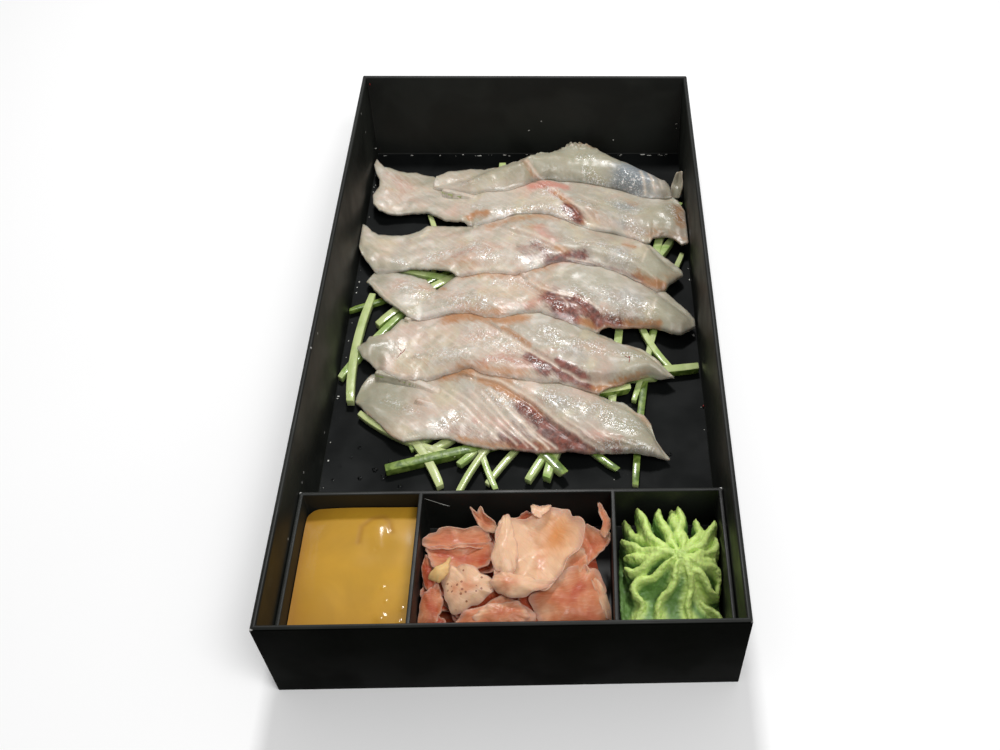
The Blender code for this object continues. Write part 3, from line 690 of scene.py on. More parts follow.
                  (1.4, 0.8, [(4, -35), (8, -39)]), (1.5, 0.9, [(-46, -7), (-36, -9)])],
        "glassy": [(-56, -22, 15, 20, 0, 1.0), (46, -42, 13, 12, 0, 0.8), (-20, -18, 18, 7, -20, 0.35)],
        "blue": [(16, -33, 8, 3.5, -40, 0.3)],
    },
}
fishShape = {
    "columns": 320,
    "rows": 92,
    "rim": 0.7,  # mm thick at the cut edge
    "flapTaper": 6.5,
    "loinTaper": 4.0,
    "edgeWander": 0.55,
    "lumpHeight": 0.5,
    "lumpSize": 10.0,
    "seamDepth": 0.8,
    "seamHalfWidth": 1.1,
    "loinRise": 1.0,
    "crestRise": 2.6,
}


def fishMaterial():
    material, tree, shader = newMaterial(
        "rawWhiteFish", IOR=1.40, Subsurface_Weight=0.22, Subsurface_Scale=0.0016,
        Subsurface_Radius=(1.0, 0.55, 0.38), Specular_IOR_Level=0.8)
    place = objectPlace(tree)
    flap = drift(tree, place, (0.60, 0.475, 0.375, 1), (0.58, 0.51, 0.42, 1), 75.0)
    loin = drift(tree, place, (0.45, 0.39, 0.305, 1), (0.51, 0.46, 0.385, 1), 110.0)
    seam = attributeNode(tree, "seam")
    colour = mixColour(tree, rangeNode(tree, seam, -1.0, 5.0), flap, loin)
    # fibres lie along the fillet, a few mm long and less than one wide
    stretch = tree.nodes.new("ShaderNodeMapping")
    stretch.vector_type = "TEXTURE"
    stretch.inputs["Rotation"].default_value = (0, 0, math.radians(-46))
    stretch.inputs["Scale"].default_value = (0.0040, 0.0009, 0.0020)
    tree.links.new(place, stretch.inputs["Vector"])
    grain = stretch.outputs["Vector"]
    fibre = noiseNode(tree, grain, 1.0, 4.0, 0.4)
    colour = mixColour(tree, rangeNode(tree, fibre, 0.52, 0.74, 0.0, 0.28), colour, (0.76, 0.69, 0.60, 1))
    colour = mixColour(tree, rangeNode(tree, fibre, 0.46, 0.28, 0.0, 0.28), colour, (0.42, 0.34, 0.26, 1))
    # the flesh drifts between cream, white and pink
    drifts = (
        (62.0, 0.55, (0.66, 0.565, 0.37, 1)),
        (85.0, 0.55, (0.78, 0.725, 0.65, 1)),
        (48.0, 0.42, (0.62, 0.385, 0.29, 1)),
        (130.0, 0.45, (0.40, 0.375, 0.285, 1)),
    )
    for scale, share, tone in drifts:
        amount = rangeNode(tree, noiseNode(tree, place, scale, 4.0, 0.9), 0.50, 0.68, 0.0, share)
        colour = mixColour(tree, amount, colour, tone)
    # faint pale lines where the flakes of the flap meet
    flakes = tree.nodes.new("ShaderNodeTexWave")
    flakes.bands_direction = "Y"
    for label, value in (("Scale", 0.085), ("Distortion", 5.0), ("Detail", 2.0), ("Detail Scale", 0.6)):
        flakes.inputs[label].default_value = value
    tree.links.new(grain, flakes.inputs["Vector"])
    lines = rangeNode(tree, flakes.outputs["Fac"], 0.78, 0.98, 0.0, 0.16)
    lines = mathNode(tree, "MULTIPLY", lines, rangeNode(tree, seam, 2.0, -3.0))
    colour = mixColour(tree, lines, colour, (0.80, 0.72, 0.62, 1))
    bloodTone = drift(tree, place, (0.10, 0.020, 0.016, 1), (0.26, 0.065, 0.045, 1), 420.0)
    # painted layers: attribute, how much they cover, tone, how ragged and how fine. The warm layer also
    # paints the shadow under the front edge of the slice behind, and the blue layer is partly a painted
    # bluish sheen
    layers = (
        ("glassy", 0.80, (0.375, 0.355, 0.250, 1), 0.5, 0.8),
        ("blue", 0.85, (0.22, 0.255, 0.285, 1), 0.5, 0.8),
        ("blush", 0.80, (0.56, 0.20, 0.145, 1), 0.9, 0.8),
        ("warm", 0.85, (0.47, 0.195, 0.062, 1), 1.1, 0.8),
        ("blood", 0.92, bloodTone, 0.95, 1.2),
    )
    for name, share, tone, uneven, scale in layers:
        amount = attributeNode(tree, name)
        mask = useGroup(tree, "ragged", Vector=grain, Amount=amount, Scale=scale, Break=uneven)["Mask"]
        colour = tint(tree, colour, mask, share, tone)
    threads = mathNode(tree, "MULTIPLY_ADD", noiseNode(tree, place, 700.0), 0.8, 0.45, clamp=True)
    pale = mathNode(tree, "MULTIPLY", attributeNode(tree, "pale"), threads)
    colour = tint(tree, colour, pale, 0.85, (0.86, 0.72, 0.58, 1))
    rim = attributeNode(tree, "rim")
    colour = tint(tree, colour, rim, 0.2, (0.80, 0.75, 0.68, 1))
    shine = attributeNode(tree, "shine")
    # painted glints: fine white flecks mixed into the colour, strong where shine is painted and faint
    # everywhere else
    flecks = rangeNode(tree, noiseNode(tree, place, 950.0, 3.0, 1.2), 0.54, 0.62)
    flecks = mathNode(tree, "MULTIPLY", flecks, mathNode(tree, "MULTIPLY_ADD", shine, 0.90, 0.05))
    colour = mixColour(tree, flecks, colour, (0.92, 0.91, 0.89, 1))
    tree.links.new(colour, shader.inputs["Base Color"])
    skin = useGroup(tree, "wetSkin", Vector=place, Scale=1250.0)
    wet = mathNode(tree, "MULTIPLY_ADD", skin["Wet"], 0.45, shine, clamp=True)
    tree.links.new(rangeNode(tree, wet, 0.0, 1.0, 0.38, 0.14), shader.inputs["Roughness"])
    # the thin rim and the glassy film let what is under them show
    film = mathNode(tree, "MULTIPLY_ADD", attributeNode(tree, "film"), -0.5, 1.0)
    film = mathNode(tree, "MULTIPLY_ADD", rim, -0.5, film)
    tree.links.new(film, shader.inputs["Alpha"])
    strength = mathNode(tree, "MULTIPLY_ADD", shine, 0.75, 0.25)
    height = mathNode(tree, "MULTIPLY", skin["Height"], strength)
    height = mathNode(tree, "MULTIPLY_ADD", fibre, 0.12, height)
    addBump(tree, shader, height, 0.00040, 1.0)
    return material


def soften(grid, rounds):
    for _ in range(rounds):
        wide = np.pad(grid, 1, mode="edge")
        grid = (wide[:-2, 1:-1] + wide[2:, 1:-1] + wide[1:-1, :-2] + wide[1:-1, 2:] + 2 * grid) / 6
    return grid


def spotMask(points, spots):
    mask = np.zeros(len(points))
    for x, y, halfX, halfY, turn, strength in spots:
        a = math.radians(turn)
        dx, dy = points[:, 0] - x * mm, points[:, 1] - y * mm
        p = (dx * math.cos(a) + dy * math.sin(a)) / (halfX * mm)
        q = (dy * math.cos(a) - dx * math.sin(a)) / (halfY * mm)
        mask = np.maximum(mask, strength * np.exp(-0.9 * (p * p + q * q) ** 1.3))
    return mask


def lineOffset(points, line):
    # signed distance in mm from a line of x, y points, above zero on its left looking along it
    best = np.full(len(points), 1e9)
    signed = np.zeros(len(points))
    for (x0, y0), (x1, y1) in zip(line, line[1:]):
        run = np.array((x1 - x0, y1 - y0)) * mm
        rel = points[:, :2] - np.array((x0, y0)) * mm
        t = np.clip(rel @ run / (run @ run), 0, 1)
        near = rel - t[:, None] * run
        distance = np.hypot(near[:, 0], near[:, 1])
        side = np.sign(rel[:, 1] * run[0] - rel[:, 0] * run[1])
        closer = distance < best
        signed[closer] = (distance * side)[closer]
        best[closer] = distance[closer]
    return signed / mm


def strokeMask(points, strokes, spread=1.0):
    mask = np.zeros(len(points))
    for half, strength, line in strokes:
        away = lineOffset(points, line)
        mask = np.maximum(mask, strength * np.exp(-(away / half / spread) ** 2))
    return mask


def buildSlice(node, look, material, shreds, nextSlice):
    shape = fishShape
    number = int(node[-1])
    piece, u, v, upper = addSlab("fish" + node[-1], shape["columns"], shape["rows"])
    columns, rows = shape["columns"] + 1, shape["rows"] + 1
    frontLine, backLine = np.array(look["front"]) * mm, np.array(look["back"]) * mm
    xs = np.linspace(frontLine[0, 0], frontLine[-1, 0], columns)
    front = np.interp(xs, frontLine[:, 0], frontLine[:, 1])
    back = np.interp(xs, backLine[:, 0], backLine[:, 1])
    tree = treeOf(node)
    shares = 0.5 - 0.5 * np.cos(np.pi * np.linspace(0, 1, rows))  # rows crowd towards both long edges
    shares = 0.5 * shares + 0.5 * np.linspace(0, 1, rows)
    ys = front[:, None] + (back - front)[:, None] * shares
    topGrid, lowGrid = castGrid(tree, xs, ys), castGrid(tree, xs, ys, 1)
    missed = np.isnan(topGrid + lowGrid)
    topGrid[missed] = lowGrid[missed] = np.nan
    for grid in (topGrid, lowGrid):
        known = ~np.isnan(grid)
        full = np.flatnonzero(known.sum(1) > 5)
        for i in full:
            grid[i] = np.interp(np.arange(rows), np.flatnonzero(known[i]), grid[i][known[i]])
        for i in range(columns):
            if known[i].sum() <= 5:
                grid[i] = grid[full[np.abs(full - i).argmin()]]
    topGrid, lowGrid = soften(topGrid, 30), soften(lowGrid, 30)
    underGrid = np.nan_to_num(castGrid(shreds, xs, ys))
    underGrid = np.maximum(underGrid, soften(underGrid, 3))
    restGrid = np.nan_to_num(castGrid(nextSlice, xs, ys)) if nextSlice else np.zeros((columns, rows))
    # how far each column's front edge hangs above the slice before it
    edgeRest = restGrid[:, :8].max(1)
    held = (edgeRest > 2 * mm) * 1.0
    sink = np.clip(lowGrid[:, 3] + 0.5 * mm - edgeRest, 0, 5 * mm) * held
    blur = np.hanning(17) / np.hanning(17).sum()
    held, sink = (np.convolve(np.pad(row, 8, mode="edge"), blur, "valid") for row in (held, sink))

    i = np.rint(u * (columns - 1)).astype(int)
    j = np.rint(v * (rows - 1)).astype(int)
    x, y = xs[i], ys[i, j]
    if "leftEnd" in look:
        dents = np.array(look["leftEnd"])
        dent = np.interp(shares[j], dents[:, 0], dents[:, 1]) * mm
        x = x + dent * np.clip(1 - (x - xs[0]) / (14 * mm), 0, 1)
    flat = flatPoints(x, y)
    # the cut edge wanders
    wander = cloud(flat, 5 * mm, number) + 0.6 * cloud(flat, 1.7 * mm, number + 20)
    edgeShare = np.abs(2 * shares[j] - 1) ** 3 * np.sign(shares[j] - 0.5)
    y = y + edgeShare * wander * shape["edgeWander"] * mm
    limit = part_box("insert")[1].x - 0.1 * mm
    flat = flatPoints(np.clip(x, -limit, limit), y)

    width = np.maximum(back - front, 1e-4)[i]
    fromLong = np.minimum(shares[j] * (1 - 0.45 * held[i]), 1 - shares[j]) * width / mm
    fromEnd = np.minimum(xs[i] - xs[0], xs[-1] - xs[i]) / mm
    inset = np.minimum(fromLong, fromEnd)
    top, bottom = topGrid[i, j], lowGrid[i, j]
    signed = lineOffset(flat, look["seam"])
    onLoin = step(-1, 3, signed)

    inner = step(0.5, 5.0, inset)
    pale = strokeMask(flat, look["pale"])
    relief = shape["lumpHeight"] * cloud(flat, shape["lumpSize"] * mm, number + 5)
    relief += 0.25 * cloud(flat, 3.4 * mm, number + 9)
    relief -= shape["seamDepth"] * np.exp(-((signed + 0.8) / shape["seamHalfWidth"]) ** 2)
    relief += shape["loinRise"] * np.exp(-((signed - 4.0) / 3.6) ** 2)
    relief *= inner
    relief -= 0.22 * pale
    ruffle = spotMask(flat, look.get("ruffle", []))
    relief += ruffle * (1.3 * cloud(flat, 2.4 * mm, 41) + 2.2 * np.abs(cloud(flat, 4.0 * mm, 42)))
    # the thin rim lifts and dips like a wet leaf
    rimWave = (1 - step(0, 6.0, inset)) * 0.6 * cloud(flat, 7 * mm, number + 14)

    thick = np.maximum(top - bottom, shape["rim"] * mm)
    taper = shape["flapTaper"] + (shape["loinTaper"] - shape["flapTaper"]) * onLoin
    fullness = np.sqrt(1 - (1 - np.clip(inset / taper, 0, 1)) ** 2)
    share = shape["rim"] * mm / thick
    share = share + (1 - share) * fullness
    middle = bottom + 0.45 * thick
    z = np.where(upper, middle + 0.55 * thick * share, middle - 0.45 * thick * share)
    z = z + np.where(upper, relief, 0) * mm + rimWave * mm
    under = underGrid[i, j]
    z = np.maximum(z, np.where(upper, np.minimum(under + 0.8 * mm, 14 * mm), np.minimum(under, z + 0.3 * mm)))
    # the front sinks and clings to the slice before it
    rest = restGrid[i, j]
    fromFront = shares[j] * width / mm
    z = z - sink[i] * (1 - step(0, 10, fromFront))
    lies = rest > 2 * mm
    clear = rest + (0.20 + 0.12 * np.clip(fromFront, 0, 5)) * mm
    near = lies & (fromFront < 9)
    z = np.where(lies & upper, np.maximum(z, clear), z)
    z = np.where(near & ~upper, np.minimum(z, rest - 0.25 * mm), z)
    # a film at the crest stands up in ruffles
    stand = ruffle * (shape["crestRise"] + 3.2 * np.abs(cloud(flat, 1.9 * mm, 43)))
    z = z + stand * mm
    flat[:, 2] = np.maximum(z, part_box("cucumber")[0].z)
    setPoints(piece, flat)

    paint(piece, "seam", signed)
    paint(piece, "pale", pale)
    # warm strokes include painted shadow under the slice behind, and shine strokes also drive painted glints
    for name, spread in (("blood", 1.6), ("warm", 1.5), ("shine", 1.0), ("blush", 1.0)):
        paint(piece, name, strokeMask(flat, look.get(name, []), spread))
    thin = 0.6 * (1 - step(0.5, 5.5, inset))
    paint(piece, "glassy", np.maximum(spotMask(flat, look["glassy"]), thin * (1 - near * (fromFront < 6))))
    # the blue areas: a bluish tint, and where they lie under the shine strokes a painted bluish sheen
    paint(piece, "blue", spotMask(flat, look["blue"]))
    paint(piece, "rim", np.maximum(1 - step(0, 1.2, inset), near * (1 - step(0, 2.6, fromFront))))
    paint(piece, "film", np.clip(0.30 * spotMask(flat, look["glassy"]) * (1 - onLoin) + 0.6 * ruffle, 0, 0.7))
    wear(piece, material, "fish", node)
    smoothShade(piece)
    return piece


def closedCurve(points, turns):
    # a smooth closed line through the points, looked up at turns from 0 to 1
    known = np.array(points, float)
    count = len(known)
    place = (turns % 1.0) * count
    k = np.floor(place).astype(int) % count
    t = (place - np.floor(place))[:, None]
    return between(known[k - 1], known[k], known[(k + 1) % count], known[(k + 2) % count], t)


def keepInside(piece, node, walls=None):
    # presses what would reach through a wall back to it
    low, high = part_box(node)
    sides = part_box(walls or node)
    points = np.clip(getPoints(piece), (sides[0].x, low.y, low.z), (sides[1].x, high.y, 1))
    setPoints(piece, points)


def roundSheet(name, columns, rim, middle, hollow):
    # a sheet from its rim and its middle in mm, with each point's angle and its share of the way out
    deselectAll()
    bpy.ops.mesh.primitive_grid_add(x_subdivisions=columns, y_subdivisions=columns, size=2)
    sheet = bpy.context.object
    sheet.name = name
    flat = getPoints(sheet)
    p = flat[:, 0] * np.sqrt(1 - flat[:, 1] ** 2 / 2)
    q = flat[:, 1] * np.sqrt(1 - flat[:, 0] ** 2 / 2)
    theta, r = np.arctan2(q, p), np.hypot(p, q)
    edge = closedCurve(rim, -theta / (2 * math.pi) + 0.5)
    middle = np.array(middle, float)
    points = middle + (edge - middle) * r[:, None]
    points[:, 2] = middle[2] + (edge[:, 2] - middle[2]) * r ** hollow
    return sheet, theta, r, points


# the curled end of the rearmost slice, against the wall: its rim and its middle in mm
fishTail = {
    "rim": [(67.2, 99, 5.0), (67.8, 102.4, 8.5), (69.6, 105, 12), (71.6, 105.6, 13.5), (72.6, 103.4, 12.6),
            (72.5, 99.6, 9), (71.2, 96.6, 5.4), (68.8, 96.4, 4.4)],
    "middle": (70.4, 100.8, 7.6),
}


def buildTail(look, material):
    tail, theta, r, points = roundSheet("fishTail", 30, look["rim"], look["middle"], 1.6)
    points[:, 2] += 0.5 * np.sin(5 * theta) * r ** 2
    points += 0.25 * cloud(points, 2.0, 4)[:, None]
    setPoints(tail, points * mm)
    paint(tail, "seam", np.full(len(r), 4.0))
    paint(tail, "glassy", np.full(len(r), 0.7))
    paint(tail, "pale", step(0.75, 1.0, r) * 0.5)
    applyModifier(tail, "SOLIDIFY", thickness=0.8 * mm, offset=0)
    applyModifier(tail, "SUBSURF", levels=1, render_levels=1)
    keepInside(tail, "slice_1", "insert")
    wear(tail, material, "fish")
    smoothShade(tail)


# mustard

mustardLook = {
    "columns": 150,
    "rows": 190,
    "cornerRadius": 4.2,  # mm, at the left back corner
    # the hook that the spoon left, in mm: a groove with a low tongue inside it
    "hook": [(-51.9, -95.5), (-51.6, -89.3), (-48.4, -86), (-44.6, -85.3), (-42.3, -87.4), (-41.2, -91.5)],
    "tongue": [(-46.4, -89.5), (-46.2, -93), (-45.6, -97.5)],
    # places where the paste stands up or dips a little: x, y, half width and height
    "dabs": [(-45.6, -98.2, 0.8, -0.10), (-41.5, -124.5, 1.9, 0.46), (-41.9, -113, 0.7, 0.14),
             (-35.0, -120.7, 0.7, 0.14), (-35.4, -125.4, 0.9, 0.2), (-40.4, -118, 0.5, 0.1),
             (-62, -118, 5, 0.2), (-52, -105, 7, 0.2)],
    "light": (0.58, 0.31, 0.020, 1),
    # the dark tone is painted shade, along the walls and in the hook's groove
    "dark": (0.36, 0.165, 0.020, 1),
}


def buildMustard(look):
    low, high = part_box("mustard")
    piece, u, v, upper = addSlab("mustardFill", look["columns"], look["rows"])
    x = low.x + (high.x - low.x) * u
    y = low.y + (high.y - low.y) * v
    columns, rows = 60, 76
    xs = low.x + (high.x - low.x) * np.clip(np.arange(columns) / (columns - 1), 0.01, 0.99)
    ys = low.y + (high.y - low.y) * np.clip(np.arange(rows) / (rows - 1), 0.01, 0.99)
    grid = castGrid(treeOf("mustard"), xs, np.tile(ys, (columns, 1)))
    grid = soften(grid, 24)
    a, b = u * (columns - 1), v * (rows - 1)
    i, j = np.minimum(a.astype(int), columns - 2), np.minimum(b.astype(int), rows - 2)
    a, b = a - i, b - j
    near = grid[i, j] * (1 - a) + grid[i + 1, j] * a
    far = grid[i, j + 1] * (1 - a) + grid[i + 1, j + 1] * a
    top = 0.3 * (near * (1 - b) + far * b) + 0.7 * np.median(grid)
    radius = look["cornerRadius"] * mm
    a = np.clip((low.x + radius - x) / radius, 0, 1)
    b = np.clip((y - high.y + radius) / radius, 0, 1)
    corner = (a > 0) & (b > 0)
    x = np.where(corner, low.x + radius - radius * a * np.sqrt(1 - b * b / 2), x)
    y = np.where(corner, high.y - radius + radius * b * np.sqrt(1 - a * a / 2), y)
    flat = flatPoints(x, y)
    relief = 0.12 * cloud(flat, 14 * mm, 3)
    relief -= 0.11 * strokeMask(flat, [(0.9, 1.0, look["hook"])])
    relief += 0.20 * strokeMask(flat, [(2.2, 1.0, look["tongue"])])
    for px, py, half, height in look["dabs"]:
        relief += height * np.exp(-((x / mm - px) ** 2 + (y / mm - py) ** 2) / half ** 2)
    wall = np.minimum(np.minimum(x - low.x, high.x - x), np.minimum(y - low.y, high.y - y)) / mm
    setPoints(piece, np.column_stack([x, y, np.where(upper, top + relief * mm, low.z)]))
    # painted shade: darker along the left wall for the wall's shadow and the see-through paste there, along
    # every wall edge, and towards the front
    left = np.exp(-(x - low.x) / (4.5 * mm))
    paint(piece, "wall", np.clip(0.9 * left + 0.3 * np.exp(-wall / 1.0) + 0.45 * step(0.45, 0.0, v), 0, 1))
    # painted shade in the groove of the hook
    paint(piece, "groove", strokeMask(flat, [(1.1, 0.7, look["hook"])]))

    material, tree, shader = newMaterial(
        "mustard", Coat_Weight=0.22, Coat_Roughness=0.08, Subsurface_Weight=0.10, Subsurface_Scale=0.0015,
        Subsurface_Radius=(1.0, 0.6, 0.15), Specular_IOR_Level=0.25)
    place = objectPlace(tree)
    colour = drift(tree, place, look["light"], scaled(look["light"], 0.84), 42.0)
    # painted shade along the walls
    colour = tint(tree, colour, attributeNode(tree, "wall"), 0.85, look["dark"])
    # painted shade in the groove of the hook
    colour = tint(tree, colour, attributeNode(tree, "groove"), 0.8, look["dark"])
    colour = tint(tree, colour, speckle(tree, place, 420.0, 0.12, 0.02), 0.5, (0.30, 0.15, 0.03, 1))
    tree.links.new(colour, shader.inputs["Base Color"])
    rough = rangeNode(tree, noiseNode(tree, place, 90.0), 0.3, 0.7, 0.50, 0.60)
    tree.links.new(rough, shader.inputs["Roughness"])
    addBump(tree, shader, noiseNode(tree, place, 1100.0, 3.0), 0.00003, 0.4)
    wear(piece, material, "mustard", "mustard")
    smoothShade(piece, 50)


# pickled ginger

# Each leaf: its rim and its middle in mm, and its tone from 0, pale, to 1, deep. Some have a rim that turns
# up or down by lip mm, dark dots, a yellow tone, a warm heart or a steeper hollow.
gingerLeaves = [
    {"rim": [(-30, -117, 13), (-27.5, -112.5, 15.5), (-24, -110.9, 15), (-22.6, -115, 13.5),
             (-23, -121, 12), (-26, -126, 10), (-30, -125, 10)], "middle": (-26.5, -117.5, 14.4),
     "tone": 0.72},
    {"rim": [(-30, -126, 8), (-29, -121, 11), (-24.5, -120, 12.5), (-21, -123, 11.5), (-19, -129, 8.5),
             (-25, -131, 6.5)], "middle": (-25, -125, 11.6), "tone": 0.85},
    {"rim": [(-30, -102, 15.5), (-28.4, -100.6, 16.4), (-26.4, -105, 15), (-25, -110, 14),
             (-27.4, -112.4, 13.4), (-29.6, -108, 14)], "middle": (-27.8, -106, 15.6), "tone": 0.85},
    {"rim": [(-23, -92, 14.5), (-10, -91, 15), (-4, -96, 15), (-6, -106, 15), (-20, -107, 16),
             (-27, -103, 15)], "middle": (-15, -99, 13.8), "tone": 0.95},
    {"rim": [(-30.2, -96, 18.6), (-27.4, -92.6, 18.4), (-22.7, -90.3, 18), (-16, -89.8, 17.6),
             (-9.7, -90.7, 17), (-6.7, -93.9, 16.6), (-8.6, -97.4, 16.2), (-15, -98.6, 16.8),
             (-22, -98.4, 17.4), (-28, -98.8, 17.6)], "middle": (-18, -94.6, 15.6), "tone": 0.52,
     "lip": 1.0},
    {"rim": [(-28.8, -98, 17.6), (-23, -96.6, 17.2), (-14, -96.4, 16.8), (-7, -95.4, 17.2),
             (-5.6, -101, 17.2), (-8, -105.6, 17), (-17.4, -106.4, 17.2), (-24.6, -105.8, 16.8),
             (-28, -102.6, 17)], "middle": (-17, -101, 15.4), "tone": 0.66, "lip": 0.7},
    {"rim": [(-14.6, -84.9, 21.8), (-12.6, -86.0, 21.4), (-10.8, -84.8, 22.2), (-9.2, -87, 21),
             (-5.4, -89.8, 19.4), (-5.2, -92.4, 18), (-9.6, -91.6, 17.4), (-12.4, -88.6, 19.4)],
     "middle": (-9.4, -88.8, 18.7), "tone": 0.42, "lip": 0.5},
    {"rim": [(2, -87, 19.5), (6, -85.6, 20), (9, -88, 19.5), (8, -92, 17.5), (1, -92, 17.5),
             (-2, -89, 18.5)], "middle": (4, -89, 18.4), "tone": 0.8},
    {"rim": [(-19.7, -126.5, 12), (-16, -121.5, 13.5), (-8, -117.5, 15), (-1.2, -115.5, 15.6),
             (4.5, -118, 14.6), (8.6, -124, 12.4), (6, -130.6, 8.6), (-8, -131, 8.4), (-18, -130.6, 9)],
     "middle": (-5, -122.5, 15.0), "tone": 0.60},
    {"rim": [(-12, -122.5, 14.6), (-6, -118.6, 15.8), (2, -118, 15.8), (6.5, -122, 14.4), (2, -125.4, 13.4),
             (-6, -126.4, 13)], "middle": (-2, -121.6, 16.0), "tone": 0.50},
    {"rim": [(3, -114, 13.6), (9, -112, 14), (11, -118, 13), (10, -126, 11), (5, -124, 12),
             (2.6, -118, 13)], "middle": (7, -118.5, 13.0), "tone": 1.15},
    {"rim": [(6.6, -117.5, 15.4), (10.5, -113, 17.2), (16.9, -109.6, 18), (24, -105.4, 18.4),
             (28, -107, 17.6), (31.4, -112, 15.8), (32.8, -120, 13), (31.6, -128.6, 9.6), (22, -131, 8.8),
             (13, -130.8, 9), (9.6, -124.6, 12)], "middle": (21, -117.5, 17.4), "tone": 0.58, "lip": 0.4},
    {"rim": [(25, -106.6, 18.2), (28.4, -109.6, 17.4), (32.4, -117, 14.6), (33.2, -124, 12.4),
             (30.4, -121, 14.4), (28, -114, 16.6)], "middle": (29.4, -114.6, 16.6), "tone": 0.30},
    {"rim": [(24.1, -91.6, 20), (28, -92.6, 20.4), (33.4, -94.6, 20), (32.6, -99, 18), (28.4, -102.4, 17),
             (24.4, -106.4, 16), (21.6, -103, 16.6), (22, -96, 18)], "middle": (27, -97.8, 16.8),
     "tone": 0.50, "lip": 0.6},
    {"rim": [(29.5, -84.8, 24.2), (30.9, -86, 23.8), (33.4, -90, 21.8), (33.6, -93.4, 20.6),
             (32, -96, 19.2), (30.2, -94.6, 19), (31, -91.4, 21.2), (29.9, -88, 22.8)],
     "middle": (31.7, -91, 21.4), "tone": 0.45},
    {"rim": [(20, -102, 18.6), (24.4, -99.6, 18.4), (25.6, -104, 17.6), (23, -109.4, 17),
             (18.5, -111.8, 17.6), (15.6, -110.4, 18.2)], "middle": (21.2, -106, 19.0), "tone": 0.38},
    {"rim": [(-21.6, -105.2, 17.4), (-17, -105.4, 18.6), (-12.1, -106.4, 19), (-7, -109.4, 18.2),
             (-3.6, -112.3, 16.8), (-6.6, -115.4, 15.4), (-12, -118, 15), (-17.2, -121.3, 13.6),
             (-20.6, -118, 14.4), (-22.9, -112, 15.6)], "middle": (-13.6, -112.6, 18.4), "tone": 0.10,
     "dots": 1.0, "lip": -0.3},
    {"rim": [(-20.0, -103.2, 20.4), (-22.6, -105.4, 19.8), (-26.2, -107.6, 18.6), (-27.0, -109.8, 17.4),
             (-24, -111.2, 17.2), (-21.2, -109.4, 18.2), (-20.2, -106.4, 19.4)],
     "middle": (-23.2, -107.8, 19.8), "tone": 0.0, "yellow": 1.0},
    {"rim": [(-2.6, -91, 22.6), (-5.0, -98, 22), (-5.8, -106, 20.8), (-5.6, -111.6, 19.8),
             (-1.9, -116.2, 18.4), (4, -117.6, 18.4), (10, -116, 19.2), (15, -113, 20.2),
             (19, -108.8, 21.2), (22.6, -102, 22), (25.2, -94.4, 22.8), (22.4, -89.4, 23.2),
             (18.4, -86.9, 23.4), (12, -86.6, 23), (4, -88.6, 22.6)], "middle": (9.6, -99.4, 17.2),
     "tone": 0.06, "heart": 1.0, "lip": 0.9, "hollow": 1.5},
    {"rim": [(6.4, -85.9, 24.2), (10, -86.2, 24.3), (13.6, -85.8, 24.2), (12, -88.4, 23.8),
             (9.6, -90.4, 23.2), (7.6, -89.6, 23.6)], "middle": (9.6, -87.6, 24.0), "tone": 0.05},
    {"rim": [(-5.8, -110.6, 20.6), (-1, -109.6, 21), (5, -110.8, 20.8), (9.6, -112.6, 20.6),
             (14.6, -112.2, 20.8), (11, -115.8, 19.8), (4, -117.8, 19), (-2.4, -117, 18.8),
             (-5.8, -114, 19.6)], "middle": (2.0, -114.0, 21.6), "tone": 0.20, "lip": -0.4},
    {"rim": [(-3.2, -89.4, 23.6), (-1.2, -89.2, 23.8), (0.8, -94, 23.2), (1.8, -99.5, 22.4),
             (2.6, -105, 21.8), (1.4, -109.6, 21.2), (-2.6, -110.2, 21), (-5.6, -107.6, 21.4),
             (-6.0, -101, 22), (-4.8, -95, 22.8)], "middle": (-1.8, -100.5, 23.8), "tone": -0.02,
     "lip": -0.3},
]
gingerShape = {
    "columns": 44,
    "thickness": 0.45,  # mm
    "strayLeaves": 12,
    "pale": (0.83, 0.51, 0.32, 1),
    "salmon": (0.58, 0.20, 0.090, 1),
    "deep": (0.42, 0.062, 0.018, 1),
}


